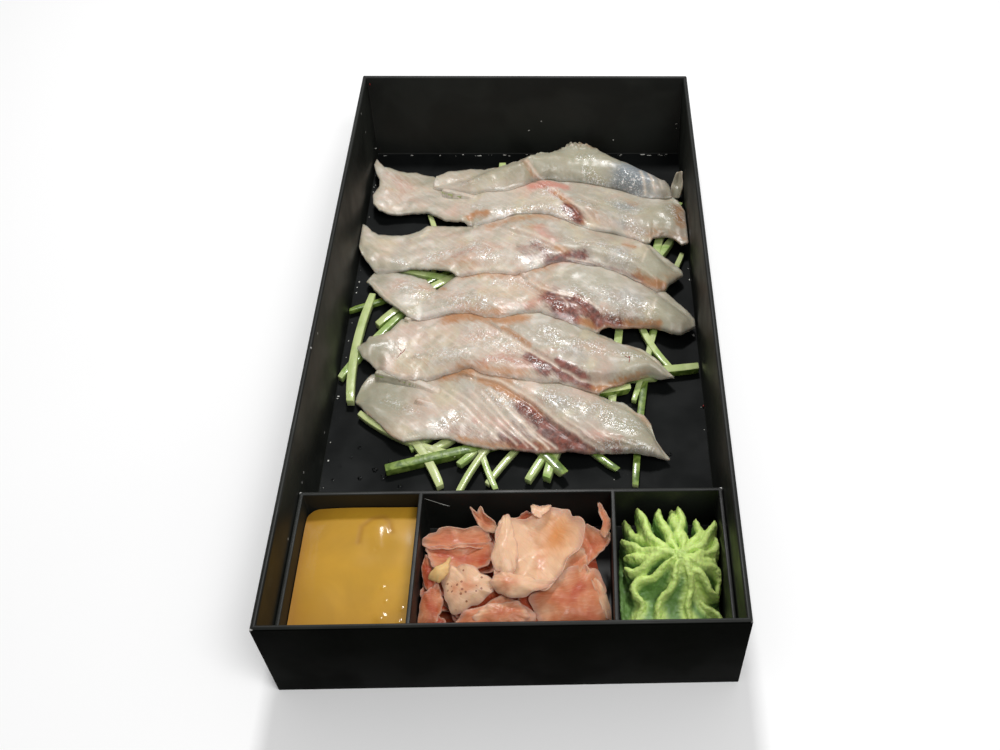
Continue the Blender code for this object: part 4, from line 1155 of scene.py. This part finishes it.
def gingerMaterial(look):
    material, tree, shader = newMaterial(
        "pickledGinger", Coat_Roughness=0.22, Subsurface_Weight=0.30, Subsurface_Scale=0.0018,
        Subsurface_Radius=(1.0, 0.40, 0.20), IOR=1.38, Specular_IOR_Level=0.45)
    place = objectPlace(tree)
    tone = attributeNode(tree, "tone")
    patches = mathNode(tree, "SUBTRACT", noiseNode(tree, place, 130.0, 4.0, 0.5), 0.5)
    shifted = mathNode(tree, "MULTIPLY_ADD", patches, 0.9, tone)
    colour = mixColour(tree, rangeNode(tree, shifted, 0.02, 0.55), look["pale"], look["salmon"])
    colour = mixColour(tree, rangeNode(tree, shifted, 0.50, 1.0), colour, look["deep"])
    colour = tint(tree, colour, attributeNode(tree, "heart"), 0.90, (0.72, 0.28, 0.085, 1))
    rim = attributeNode(tree, "rim")
    # the rims turn pale pink: partly the thin cut edge, partly a painted highlight along the rims
    colour = tint(tree, colour, rangeNode(tree, rim, 0.80, 1.0), 0.65, (0.88, 0.52, 0.40, 1))
    uv = tree.nodes.new("ShaderNodeUVMap")
    uv.uv_map = "leaf"
    stretch = tree.nodes.new("ShaderNodeMapping")
    stretch.inputs["Scale"].default_value = (3, 26, 1)
    tree.links.new(uv.outputs["UV"], stretch.inputs["Vector"])
    fibre = noiseNode(tree, stretch.outputs["Vector"], 1.0, 3.0, 0.3)
    colour = mixColour(tree, rangeNode(tree, fibre, 0.50, 0.72, 0.0, 0.16), colour, (0.86, 0.60, 0.42, 1))
    colour = mixColour(tree, rangeNode(tree, fibre, 0.46, 0.26, 0.0, 0.16), colour, (0.42, 0.13, 0.06, 1))
    dots = speckle(tree, place, 620.0, 0.27, 0.30)
    colour = tint(tree, colour, dots, attributeNode(tree, "dots"), (0.34, 0.13, 0.07, 1))
    colour = mixColour(tree, attributeNode(tree, "yellow"), colour, (0.76, 0.48, 0.17, 1))
    tree.links.new(colour, shader.inputs["Base Color"])
    skin = useGroup(tree, "wetSkin", Vector=place, Scale=520.0)
    tree.links.new(rangeNode(tree, skin["Wet"], 0, 1, 0.50, 0.36), shader.inputs["Roughness"])
    tree.links.new(rangeNode(tree, skin["Wet"], 0, 1, 0.03, 0.22), shader.inputs["Coat Weight"])
    # the cut rims are thin enough to see through a little
    tree.links.new(rangeNode(tree, rim, 0.80, 1.0, 1.0, 0.60), shader.inputs["Alpha"])
    addBump(tree, shader, mathNode(tree, "MULTIPLY_ADD", fibre, 0.8, skin["Height"]), 0.00020, 0.6)
    return material


def buildLeaf(number, look, shape, material):
    leaf, theta, r, points = roundSheet(f"ginger{number}", shape["columns"], look["rim"], look["middle"],
                                        look.get("hollow", 1.8))
    p, q = r * np.cos(theta), r * np.sin(theta)
    outward = closedCurve(look["rim"], -theta / (2 * math.pi) + 0.5)[:, :2] - np.array(look["middle"][:2])
    reach = np.hypot(outward[:, 0], outward[:, 1])
    size = reach.mean()
    outward /= reach[:, None]
    # the rim wanders and turns up into a lip
    wander = 0.05 * np.sin(5 * theta + number) + 0.03 * np.sin(11 * theta + 1.3 * number)
    points[:, :2] += outward * (size * wander * r ** 3)[:, None]
    bow = np.clip((r - 0.80) / 0.20, 0, 1)
    uneven = 0.6 + 0.4 * np.sin(2 * theta + 1.7 * number)
    points[:, :2] -= outward * (0.55 * abs(look.get("lip", 0.2)) * bow ** 2 * uneven)[:, None]
    points[:, 2] += look.get("lip", 0.2) * (bow - 0.25 * bow ** 3) * uneven
    ripple = np.sin(3 * theta + 2.2 * number) + np.sin(6 * theta + 0.9 * number)
    points[:, 2] += 0.045 * size * r ** 2 * ripple
    points[:, 2] += 0.02 * size * r ** 3 * np.sin(15 * theta + 1.1 * number)
    points[:, 2] += 0.45 * cloud(points, 4.5, number) + 0.18 * cloud(points, 1.8, number + 40)
    setPoints(leaf, points * mm)
    patches = 0.34 * cloud(points, 5.0, number + 3) - 0.42 * (r - 0.5)
    paint(leaf, "tone", look["tone"] + patches * (0.4 + look["tone"]))
    paint(leaf, "rim", r)
    paint(leaf, "dots", np.full(len(r), look.get("dots", 0.0)) * (1 - step(0.7, 0.95, r)))
    paint(leaf, "yellow", np.full(len(r), look.get("yellow", 0.0) * 0.8))
    away = np.hypot(points[:, 0] - 15.4, (points[:, 1] + 94.5) * 0.8)
    paint(leaf, "heart", look.get("heart", 0.0) * np.exp(-(away / 5.6) ** 2))
    setUv(leaf, p, q)
    applyModifier(leaf, "SOLIDIFY", thickness=shape["thickness"] * mm, offset=0)
    if number > shape["strayLeaves"]:  # the deeper leaves hardly show
        applyModifier(leaf, "SUBSURF", levels=1, render_levels=1)
    keepInside(leaf, "ginger")
    wear(leaf, material, "ginger")
    smoothShade(leaf)


def strayLeaf():
    # one of the deeper slices, of which only a little shows
    x, y, z = dice.uniform(-22, 25), dice.uniform(-125, -90), dice.uniform(8.5, 11.5)
    radius, start = dice.uniform(6, 10), dice.uniform(0, 6)
    tilt = dice.uniform(0, 6.28)
    rim = []
    for k in range(8):
        a = start - k * math.pi / 4
        far = radius * dice.uniform(0.8, 1.2)
        px = min(33, max(-29.6, x + far * math.cos(a)))
        py = min(-82.5, max(-130.5, y + far * 0.8 * math.sin(a)))
        rim.append((px, py, z + 2.2 * math.cos(a - tilt) + dice.uniform(-0.5, 0.8)))
    tone, lip = dice.uniform(0.75, 1.1), dice.uniform(-0.5, 0.8)
    return {"rim": rim, "middle": (x, y, z - 0.5), "tone": tone, "lip": lip}


def buildGinger():
    material = gingerMaterial(gingerShape)
    looks = [strayLeaf() for _ in range(gingerShape["strayLeaves"])] + gingerLeaves
    for n, look in enumerate(looks):
        buildLeaf(n + 1, look, gingerShape, material)
    low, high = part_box("ginger")
    core, u, v, upper = addSlab("gingerCore", 60, 50)
    p, q = 2 * u - 1, 2 * v - 1
    x = (low.x + high.x) / 2 + 0.45 * (high.x - low.x) * p * np.sqrt(1 - 0.2 * q ** 2)
    y = low.y + (high.y - low.y) * (0.43 + 0.42 * q * np.sqrt(1 - 0.2 * p ** 2))
    flat = flatPoints(x, y)
    edge = np.minimum(np.minimum(u, 1 - u), np.minimum(v, 1 - v))
    top = (4.2 + 5.0 * step(0, 0.25, edge) + 1.0 * cloud(flat, 8 * mm, 11)) * mm
    setPoints(core, np.column_stack([x, y, np.where(upper, top, low.z)]))
    for name, value in (("tone", 1.0), ("rim", 0.0), ("dots", 0.0), ("yellow", 0.0), ("heart", 0.0)):
        paint(core, name, np.full(len(x), value))
    setUv(core, u, v)
    wear(core, material, "ginger", "ginger")
    smoothShade(core, 60)


# wasabi

# Crest lines of the piped arms, from the middle outwards, in mm: x, y, height
wasabiArms = [
    [(48.7, -99.2, 20), (42.5, -91.5, 14.5), (38.0, -84.6, 11.5)],
    [(51.3, -100.1, 22), (46.8, -94.0, 20.5), (44.6, -88.0, 19.6), (43.6, -83.6, 19.0)],
    [(55.2, -100.6, 22), (52.0, -92.0, 20.5), (51.0, -84.0, 19.4)],
    [(57.9, -100.6, 22), (57.6, -93.0, 20.6), (55.4, -87.0, 18.6), (54.4, -83.4, 17.2)],
    [(57.9, -100.6, 22), (57.4, -93.5, 20.5), (57.9, -88.0, 20.0), (57.8, -83.4, 19.0)],
    [(60.0, -101.0, 21.5), (61.8, -96.6, 20), (65.0, -93.0, 19.0), (63.4, -88.6, 19.2)],
    [(60.8, -101.4, 22), (66.0, -97.6, 20.4), (68.4, -92.6, 19.2), (69.4, -88.4, 18.0)],
    [(62.0, -104.1, 22), (66.6, -102.0, 19.0), (69.4, -98.0, 17.0), (70.0, -93.0, 15.4)],
    [(62.2, -105.6, 22), (65.6, -104.2, 19.4), (68.6, -104.4, 17.0), (70.0, -101.4, 15.0)],
    [(62.1, -106.8, 22), (67.0, -106.4, 18.2), (69.8, -109.4, 14.8), (70.2, -114.0, 11.4)],
    [(59.4, -107.8, 22), (63.0, -110.4, 19.6), (66.4, -113.0, 17.2), (69.4, -116.4, 13.4)],
    [(60.8, -110.6, 15), (64.5, -117.0, 11.6), (67.8, -120.0, 10.4), (70.0, -125.0, 9.2)],
    [(58.4, -108.2, 22), (60.6, -112.8, 17.6), (58.2, -117.8, 14.2), (59.0, -121.4, 11.0),
     (62.6, -126.0, 8.8)],
    [(55.1, -108.1, 22), (54.0, -112.4, 19.2), (50.4, -115.4, 15.6), (49.6, -119.4, 12.4),
     (50.4, -126.6, 8.6)],
    [(51.6, -106.8, 21), (47.6, -109.6, 18), (44.4, -110.0, 16.6), (41.6, -112.4, 14.4), (43.8, -116.6, 12),
     (41.4, -121.0, 9.4), (39.4, -125.4, 7.6)],
    [(51.1, -103.2, 22), (45.4, -105.2, 19.4), (40.6, -107.0, 16.4), (37.6, -105.4, 14.6)],
    [(51.0, -103.0, 22), (43.6, -103.2, 18.6), (38.6, -100.0, 15.0)],
    [(49.8, -102.0, 22), (44.0, -100.4, 18.6), (41.0, -96.6, 17.0), (37.6, -93.4, 15.2)],
]
wasabiLook = {
    "middle": (56.9, -105.0),
    "topHeight": 23.2,
    "baseHeight": 9.0,
    "crestWidth": 2.6,  # mm
    "footWidth": 3.0,
    "wave": 0.75,
    "voxel": 0.36,
    "grain": 0.33,
    "ridge": (0.64, 0.82, 0.235, 1),
    # the tone of the painted shade in the clefts
    "valley": (0.15, 0.29, 0.070, 1),
}


def curveThrough(points, count):
    known = [np.array(p, float) for p in points]
    padded = [2 * known[0] - known[1], *known, 2 * known[-1] - known[-2]]
    fine = []
    for a, b, c, d in zip(padded, padded[1:], padded[2:], padded[3:]):
        fine += [between(a, b, c, d, t) for t in np.linspace(0, 1, 12, endpoint=False)]
    fine = np.array([*fine, known[-1]])
    along = np.concatenate([[0], np.cumsum(np.linalg.norm(np.diff(fine, axis=0), axis=1))])
    wanted = np.linspace(0, along[-1], count)
    return np.column_stack([np.interp(wanted, along, fine[:, k]) for k in range(3)])


def buildArm(number, crest, look):
    # a ridge of paste: a narrow wavy crest, sides that flare to a foot, and a pointed end
    columns, rows = 34, 10
    arm, u, v, upper = addSlab(f"arm{number}", columns, rows)
    middle = look["middle"]
    start = (0.35 * crest[0][0] + 0.65 * middle[0], 0.35 * crest[0][1] + 0.65 * middle[1], 22.6)
    line = curveThrough([start, *crest], columns + 1)
    run = np.gradient(line, axis=0)
    run /= np.linalg.norm(run[:, :2], axis=1)[:, None]
    aside = np.column_stack([-run[:, 1], run[:, 0], np.zeros(len(run))])
    share = np.linspace(0, 1, columns + 1)
    wave = look["wave"] * np.sin(9 * share + 2.1 * number) * step(0.1, 0.4, share)
    line = line + aside * wave[:, None]
    line[:, 2] += 0.35 * np.sin(13 * share + 1.3 * number)
    i = np.rint(u * columns).astype(int)
    side = 2 * v - 1
    taper = np.sqrt(np.clip(1 - share[i] ** 7, 0.12, 1)) * (0.45 + 0.55 * step(0, 0.3, share[i]))
    free = step(-99, -90, line[i, 1]) * step(0.55, 1.0, share[i])  # the tips at the back stand clear
    foot = np.minimum(look["footWidth"], 0.9 + 3.2 * share[i]) * taper * (1 - 0.25 * free)
    depth = np.minimum(line[i, 2] - 3.4, 3.5 + 9 * share[i]) * (1 - 0.55 * free)
    slim = 1 - 0.2 * step(-107, -115, line[i, 1])  # the arms lie closer together at the front
    profile = np.abs(side) ** 1.5
    out = slim * (look["crestWidth"] * taper * side * (1 - profile) + foot * side * profile)
    points = line[i] + aside[i] * out[:, None]
    points[:, 2] = line[i, 2] - depth * np.abs(side) ** 3.0
    points[:, 2] = np.where(upper, points[:, 2], line[i, 2] - depth - 0.8)
    setPoints(arm, points * mm)
    return arm


def buildWasabi(look):
    low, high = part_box("wasabi")
    arms = [buildArm(n + 1, crest, look) for n, crest in enumerate(wasabiArms)]
    mound, u, v, upper = addSlab("mound", 50, 60)
    p, q = 2 * u - 1, 2 * v - 1
    x = (low.x + high.x) / 2 + 0.49 * (high.x - low.x) * p * np.sqrt(1 - 0.12 * q ** 2)
    y = low.y + (high.y - low.y) * (0.45 + 0.45 * q * np.sqrt(1 - 0.2 * p ** 2))
    away = np.hypot(x / mm - look["middle"][0], (y / mm - look["middle"][1]) * 0.85)
    top = look["baseHeight"] + (look["topHeight"] - 1.0 - look["baseHeight"]) * np.exp(-(away / 8.5) ** 2)
    top *= 1 - 0.35 * step(0.6, 1.0, np.maximum(np.abs(p), np.abs(q)))
    flat = flatPoints(x, y)
    top += 0.6 * cloud(flat, 5 * mm, 2) + 1.2 * cloud(flat, 2.4 * mm, 3) * np.exp(-(away / 4.5) ** 2)
    setPoints(mound, np.column_stack([x, y, np.where(upper, top * mm, low.z)]))
    paste = joinAll((mound, *arms), "wasabiRosette")
    applyModifier(paste, "REMESH", mode="VOXEL", voxel_size=look["voxel"] * mm)
    applyModifier(paste, "SMOOTH", factor=0.5, iterations=3)
    keepInside(paste, "wasabi")
    points = getPoints(paste)
    normals = np.empty(len(points) * 3)
    paste.data.vertices.foreach_get("normal", normals)
    rough = cloud(points, 1.7 * mm, 8) + 0.6 * cloud(points, 0.7 * mm, 9)
    points = points + normals.reshape(-1, 3) * (rough * look["grain"] * mm)[:, None]
    setPoints(paste, points)
    keepInside(paste, "wasabi")
    # painted shade: the clefts between the crests are darkened, less so near the middle
    crestPoints = np.vstack([curveThrough(crest, 40) for crest in wasabiArms]) * mm
    points = getPoints(paste)
    nearest = np.full(len(points), 1.0)
    for spot in crestPoints:
        nearest = np.minimum(nearest, ((points - spot) ** 2).sum(1))
    fromMiddle = np.hypot(points[:, 0] / mm - look["middle"][0], points[:, 1] / mm - look["middle"][1])
    paint(paste, "cleft", step(1.3, 3.8, np.sqrt(nearest) / mm) * (0.25 + 0.75 * step(2.5, 6.0, fromMiddle)))

    material, tree, shader = newMaterial(
        "wasabiPaste", Subsurface_Weight=0.25, Subsurface_Scale=0.0018, Subsurface_Radius=(0.6, 1.0, 0.25),
        Roughness=0.5, Coat_Roughness=0.35, Coat_Weight=0.12)
    place = objectPlace(tree)
    tones = drift(tree, place, look["ridge"], scaled(look["ridge"], 0.86), 240.0)
    # painted shade in the clefts
    colour = mixColour(tree, attributeNode(tree, "cleft"), tones, look["valley"])
    colour = tint(tree, colour, speckle(tree, place, 700.0, 0.2, 0.05), 0.5, (0.12, 0.22, 0.05, 1))
    tree.links.new(colour, shader.inputs["Base Color"])
    addBump(tree, shader, noiseNode(tree, place, 1900.0, 3.0), 0.00010, 0.7)
    wear(paste, material, "wasabi", "wasabi")
    smoothShade(paste)


# shredded cucumber

# sticks that show from under the fish: outer end's x and y, the way they point in degrees, and length
shownSticks = [(-41, -46, 32, 34), (-38, -51, 40, 36), (-49, -56, 15, 62), (-22, -54, 56, 34),
               (-28, -64, 119, 26), (-11, -63, 52, 44), (4, -62, 61, 42), (11, -61, 66, 40),
               (44, -64, 82, 84), (36, -28, 84, 48), (45, -24, 75, 45), (28, -25, 62, 30),
               (72, -7, 183, 42), (61, -8, 112, 34), (66, 69, 238, 44), (70, 60, 240, 50),
               (66, 24, 160, 44), (71, 93, 252, 46), (-62, -29, -28, 44), (-66, -24, 88, 58),
               (-74, 26, 30, 50), (-72, -11, 58, 48), (-60, 17, 42, 46), (-62, 4, 20, 46),
               (-56, 51, -14, 48), (-44, 86, -84, 40), (-39, 75, 7, 40), (-12, 121, -88, 40),
               (-30, 42, -40, 30)]
darkSticks = {2, 8, 20, 28}  # those that show their skin
cucumberLook = {
    "width": 3.1,  # mm
    "hiddenSticks": 52,
    "bend": 0.07,
    "flesh": (0.52, 0.62, 0.27, 1),
    "fleshGreen": (0.30, 0.45, 0.11, 1),
    "core": (0.56, 0.62, 0.28, 1),
    "skin": (0.085, 0.150, 0.018, 1),
    "skinLight": (0.24, 0.34, 0.070, 1),
}


def cucumberMaterials(look):
    flesh, tree, shader = newMaterial(
        "cucumberFlesh", Coat_Roughness=0.12, Subsurface_Weight=0.3, Subsurface_Scale=0.002,
        Subsurface_Radius=(0.8, 1.0, 0.4), IOR=1.36)
    place = objectPlace(tree)
    tones = drift(tree, place, look["flesh"], look["fleshGreen"], 150.0)
    colour = mixColour(tree, attributeNode(tree, "paleness"), tones, look["core"])
    tree.links.new(colour, shader.inputs["Base Color"])
    water = useGroup(tree, "wetSkin", Vector=place, Scale=620.0)
    tree.links.new(rangeNode(tree, water["Wet"], 0, 1, 0.5, 0.3), shader.inputs["Roughness"])
    tree.links.new(rangeNode(tree, water["Wet"], 0, 1, 0.2, 0.7), shader.inputs["Coat Weight"])
    addBump(tree, shader, water["Height"], 0.00022, 0.6)
    peel, tree, shader = newMaterial("cucumberSkin", Coat_Roughness=0.12, Coat_Weight=0.5, IOR=1.40)
    place = objectPlace(tree)
    tree.links.new(drift(tree, place, look["skin"], look["skinLight"], 330.0), shader.inputs["Base Color"])
    rough = rangeNode(tree, noiseNode(tree, place, 300.0), 0.3, 0.7, 0.28, 0.42)
    tree.links.new(rough, shader.inputs["Roughness"])
    addBump(tree, shader, noiseNode(tree, place, 800.0, 3.0), 0.00016, 0.6)
    return flesh, peel


def makeStickShape():
    # one shred, along X from 0 to 1, a unit wide: its edges are softened
    deselectAll()
    bpy.ops.mesh.primitive_cube_add(size=1, location=(0.5, 0, 0.5))
    stick = bpy.context.object
    bpy.ops.object.transform_apply(location=True)
    bpy.ops.object.mode_set(mode="EDIT")
    for cut in range(1, 12):
        bpy.ops.mesh.select_all(action="SELECT")
        bpy.ops.mesh.bisect(plane_co=(cut / 12, 0, 0), plane_no=(1, 0, 0))
    bpy.ops.object.mode_set(mode="OBJECT")
    return stick


def buildCucumber(look):
    flesh, peel = cucumberMaterials(look)
    low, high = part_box("cucumber")
    limit = high.x
    pattern = makeStickShape()
    base = getPoints(pattern)
    sticks = []
    plans = [(x, y, heading, length, low.z / mm + 0.11 * (n % 7), n in darkSticks)
             for n, (x, y, heading, length) in enumerate(shownSticks)]
    for n in range(look["hiddenSticks"]):
        drawn = [dice.uniform(*ends) for ends in ((-24, 20), (-40, 92), (0, 360), (24, 44), (1.9, 4.6))]
        plans.append((*drawn, n % 4 == 0))
    for n, (x, y, heading, length, z, dark) in enumerate(plans):
        mesh = pattern.data.copy()
        stick = bpy.data.objects.new(f"stick{n + 1}", mesh)
        bpy.context.scene.collection.objects.link(stick)
        width = look["width"] * (0.8 + 0.4 * ((n * 7) % 5) / 4)
        height = width * (0.85 + 0.05 * (n % 4))
        turn = math.radians(heading)
        curl = dice.uniform(-1, 1) * look["bend"] * length
        roll = dice.uniform(-0.2, 0.2)
        side = base[:, 1] * width * (1 - 0.15 * np.abs(2 * base[:, 0] - 1) ** 6)
        lift = (base[:, 2] - 0.5) * height
        along = base[:, 0] * length + 0.4 * lift * (base[:, 0] > 0.99)
        twist = roll * base[:, 0] * 2
        across = side * np.cos(twist) - lift * np.sin(twist) * 0.4 + curl * 4 * base[:, 0] * (1 - base[:, 0])
        up = lift + 0.25 * side * np.sin(twist) + height / 2 + z
        px = x + along * math.cos(turn) - across * math.sin(turn)
        py = y + along * math.sin(turn) + across * math.cos(turn)
        px = np.clip(px, -limit / mm, limit / mm)
        setPoints(stick, np.column_stack([px, py, up]) * mm)
        paint(stick, "paleness", np.full(len(base), ((n * 5) % 7) / 7))
        mesh.materials.append(flesh)
        mesh.materials.append(peel)
        for face in mesh.polygons:
            normal = face.normal
            across = normal.y * math.cos(turn) - normal.x * math.sin(turn)
            onSide = abs(normal.z) < 0.5 and (n % 3 == 0) == (across > 0)
            face.material_index = int(dark and (abs(normal.z) > 0.6 or onSide) or onSide and n % 2 == 0)
        bevel(stick, 0.35, 2)
        sticks.append(stick)
    bpy.data.objects.remove(pattern)
    heap = joinAll(sticks, "cucumberShreds")
    wear(heap, None, "cucumber", "cucumber")
    smoothShade(heap, 35)
    return heap


# drops of water, pale flecks, threads and red specks

ground = 1.5  # mm, the card under them
# each drop: x, y and width in mm
waterDrops = [(-53.4, -54.2, 2.2), (-49.8, -57.4, 2.8), (-43.4, -61.6, 1.6), (-48.2, -50.5, 1.8),
              (-60.4, -43.8, 1.4), (-63.0, -48.1, 1.1), (-58.6, -57.9, 1.7), (-45.8, -66.5, 1.2),
              (29.1, -66.4, 1.3), (57.8, -48.4, 1.8), (-68.5, -58.5, 1.2), (-66.5, -52.2, 1.0),
              (-52.4, -67.5, 2.4)]
# strips of the floor where flecks gather: how many, their x and y, and how much they may stretch along both
fleckStrips = [(26, (-70, 70), (131.6, 132.8), 3.6, 0.9), (20, (-72.2, -71.4), (-70, 128), 1.4, 1.6),
               (6, (72.4, 71.6), (-60, 128), 1.4, 1.6), (6, (-60, 66), (-74, -56), 1.4, 0.9)]
# flecks on the walls, which stretch as the last strip's do
wallFlecks = [(41.2, 134.3, 9), (71.4, 135.2, 17.8), (71.6, 135.0, 15.5), (0.7, 134.9, 14.2),
              (-72.6, 128, 9)]
hairLine = [(-30.3, -81.2, 22.4), (-26.4, -81.15, 19.8), (-22.0, -81.2, 17.3)]
redThreads = [[(-49.6, 1.8), (-48.2, 0.4), (-48.8, -1.6), (-49.6, -3.0)],
              [(-46.6, 2.2), (-47.4, 0.2), (-48.4, -1.4)], [(43.0, -8.4), (43.6, -10.2), (43.2, -12.4)],
              [(41.6, -9.0), (43.0, -9.8), (44.0, -9.4)]]
redSpecks = [(72.6, -25.5, 2.2), (-72.0, 137.6, 38.5)]


def buildThread(points, width):
    piece, u, v, upper = addSlab("thread", 16, 4)
    line = curveThrough(points, 17)
    run = np.gradient(line, axis=0)
    aside = np.column_stack([-run[:, 1], run[:, 0], np.zeros(17)])
    aside /= np.linalg.norm(aside, axis=1)[:, None]
    i = np.rint(u * 16).astype(int)
    side = 2 * v - 1
    half = width / 2 * (1 - 0.7 * np.abs(2 * u - 1) ** 3)
    place = line[i] + aside[i] * (side * half)[:, None]
    place[:, 2] += np.where(upper, 1, -1) * half * np.sqrt(np.clip(1 - side ** 2, 0, 1))
    setPoints(piece, place * mm)
    return piece


def joinBits(bits, name, material, slotName):
    piece = joinAll(bits, name)
    pick(piece)
    bpy.ops.object.transform_apply(location=True, rotation=True, scale=True)
    wear(piece, material, slotName)
    smoothShade(piece)


def buildBits(tops):
    drops = []
    for n, (x, y, width) in enumerate(waterDrops):
        drop, points = addBead(4, width / 2)
        points[:, :2] *= 1 + 0.16 * np.sin(3 * np.arctan2(points[:, 1], points[:, 0]) + n)[:, None]
        points[:, 2] = np.where(points[:, 2] > 0, 0.45 * points[:, 2], 0.02 * points[:, 2])
        setPoints(drop, (points + (x, y, ground)) * mm)
        drops.append(drop)
    water = newMaterial("waterDrop", Transmission_Weight=1.0, Roughness=0.03, IOR=1.33)[0]
    joinBits(drops, "waterDrops", water, "fish")

    strips = [strip[1:] for strip in fleckStrips for _ in range(strip[0])]
    strips += [(*place, 1.4, 0.9) for place in wallFlecks]
    flecks = []
    for n, strip in enumerate(strips):
        if len(strip) == 4:
            x, y, z = dice.uniform(*strip[0]), dice.uniform(*strip[1]), ground
        else:
            x, y, z = strip[:3]
        size = dice.uniform(0.14, 0.42)
        fleck, points = addBead(2, size)
        points *= (dice.uniform(0.8, strip[-2]), dice.uniform(0.5, strip[-1]), 0.5)
        points += 0.15 * cloud(points, 0.5, n)[:, None]
        setPoints(fleck, (points + (x, y, z + size * 0.3)) * mm)
        flecks.append(fleck)
    pale = driftMaterial("paleFleck", (0.75, 0.75, 0.70, 1), (0.35, 0.34, 0.30, 1), 160.0, Roughness=0.35)
    joinBits(flecks, "paleFlecks", pale, "fish")
    # a pale hair on the wall behind the ginger
    joinBits([buildThread(hairLine, 0.16)], "paleHair", pale, "ginger")

    # dark threads on the second slice from the front, and two specks on the card
    specks = []
    for line in redThreads:
        lifted = []
        for x, y in line:
            hit = tops["slice_5"].ray_cast(Vector((x * mm, y * mm, 0.1)), Vector((0, 0, -1)))[0]
            lifted.append((x, y, hit.z / mm + 0.12))
        specks.append(buildThread(lifted, 0.24))
    for place in redSpecks:
        speck, points = addBead(2, 0.5)
        setPoints(speck, (points * (0.6, 0.9, 1.1) + place) * mm)
        specks.append(speck)
    red = driftMaterial("redSpeck", (0.35, 0.02, 0.015, 1), (0.2, 0.01, 0.01, 1), 900.0, Roughness=0.3)
    joinBits(specks, "redSpecks", red, "fish")


# the table

def buildFloor():
    deselectAll()
    bpy.ops.mesh.primitive_plane_add(size=6)
    floor = bpy.context.object
    floor.name = "paleTable"
    floor.data.materials.append(
        driftMaterial("paleTable", (0.97, 0.97, 0.97, 1), (0.955, 0.955, 0.955, 1), 3.0, Roughness=0.75))


addCamera(cameraLook)
setLights(lightLook)
makeGroups()
buildFloor()
print("camera, light and table are set")
buildTray()
buildInsert()
print("card tray and insert are folded")
heap = buildCucumber(cucumberLook)
shreds = treeNow(heap)
print("cucumber is laid")
fish = fishMaterial()
tops = {}
nextSlice = None
for node in sorted(fishLooks, reverse=True):
    nextSlice = treeNow(buildSlice(node, fishLooks[node], fish, shreds, nextSlice))
    tops[node] = nextSlice
buildTail(fishTail, fish)
print("six slices of fish are laid over it")
buildMustard(mustardLook)
buildGinger()
buildWasabi(wasabiLook)
print("mustard, ginger and wasabi are in their pockets")
buildBits(tops)
print("drops and flecks lie on the card")
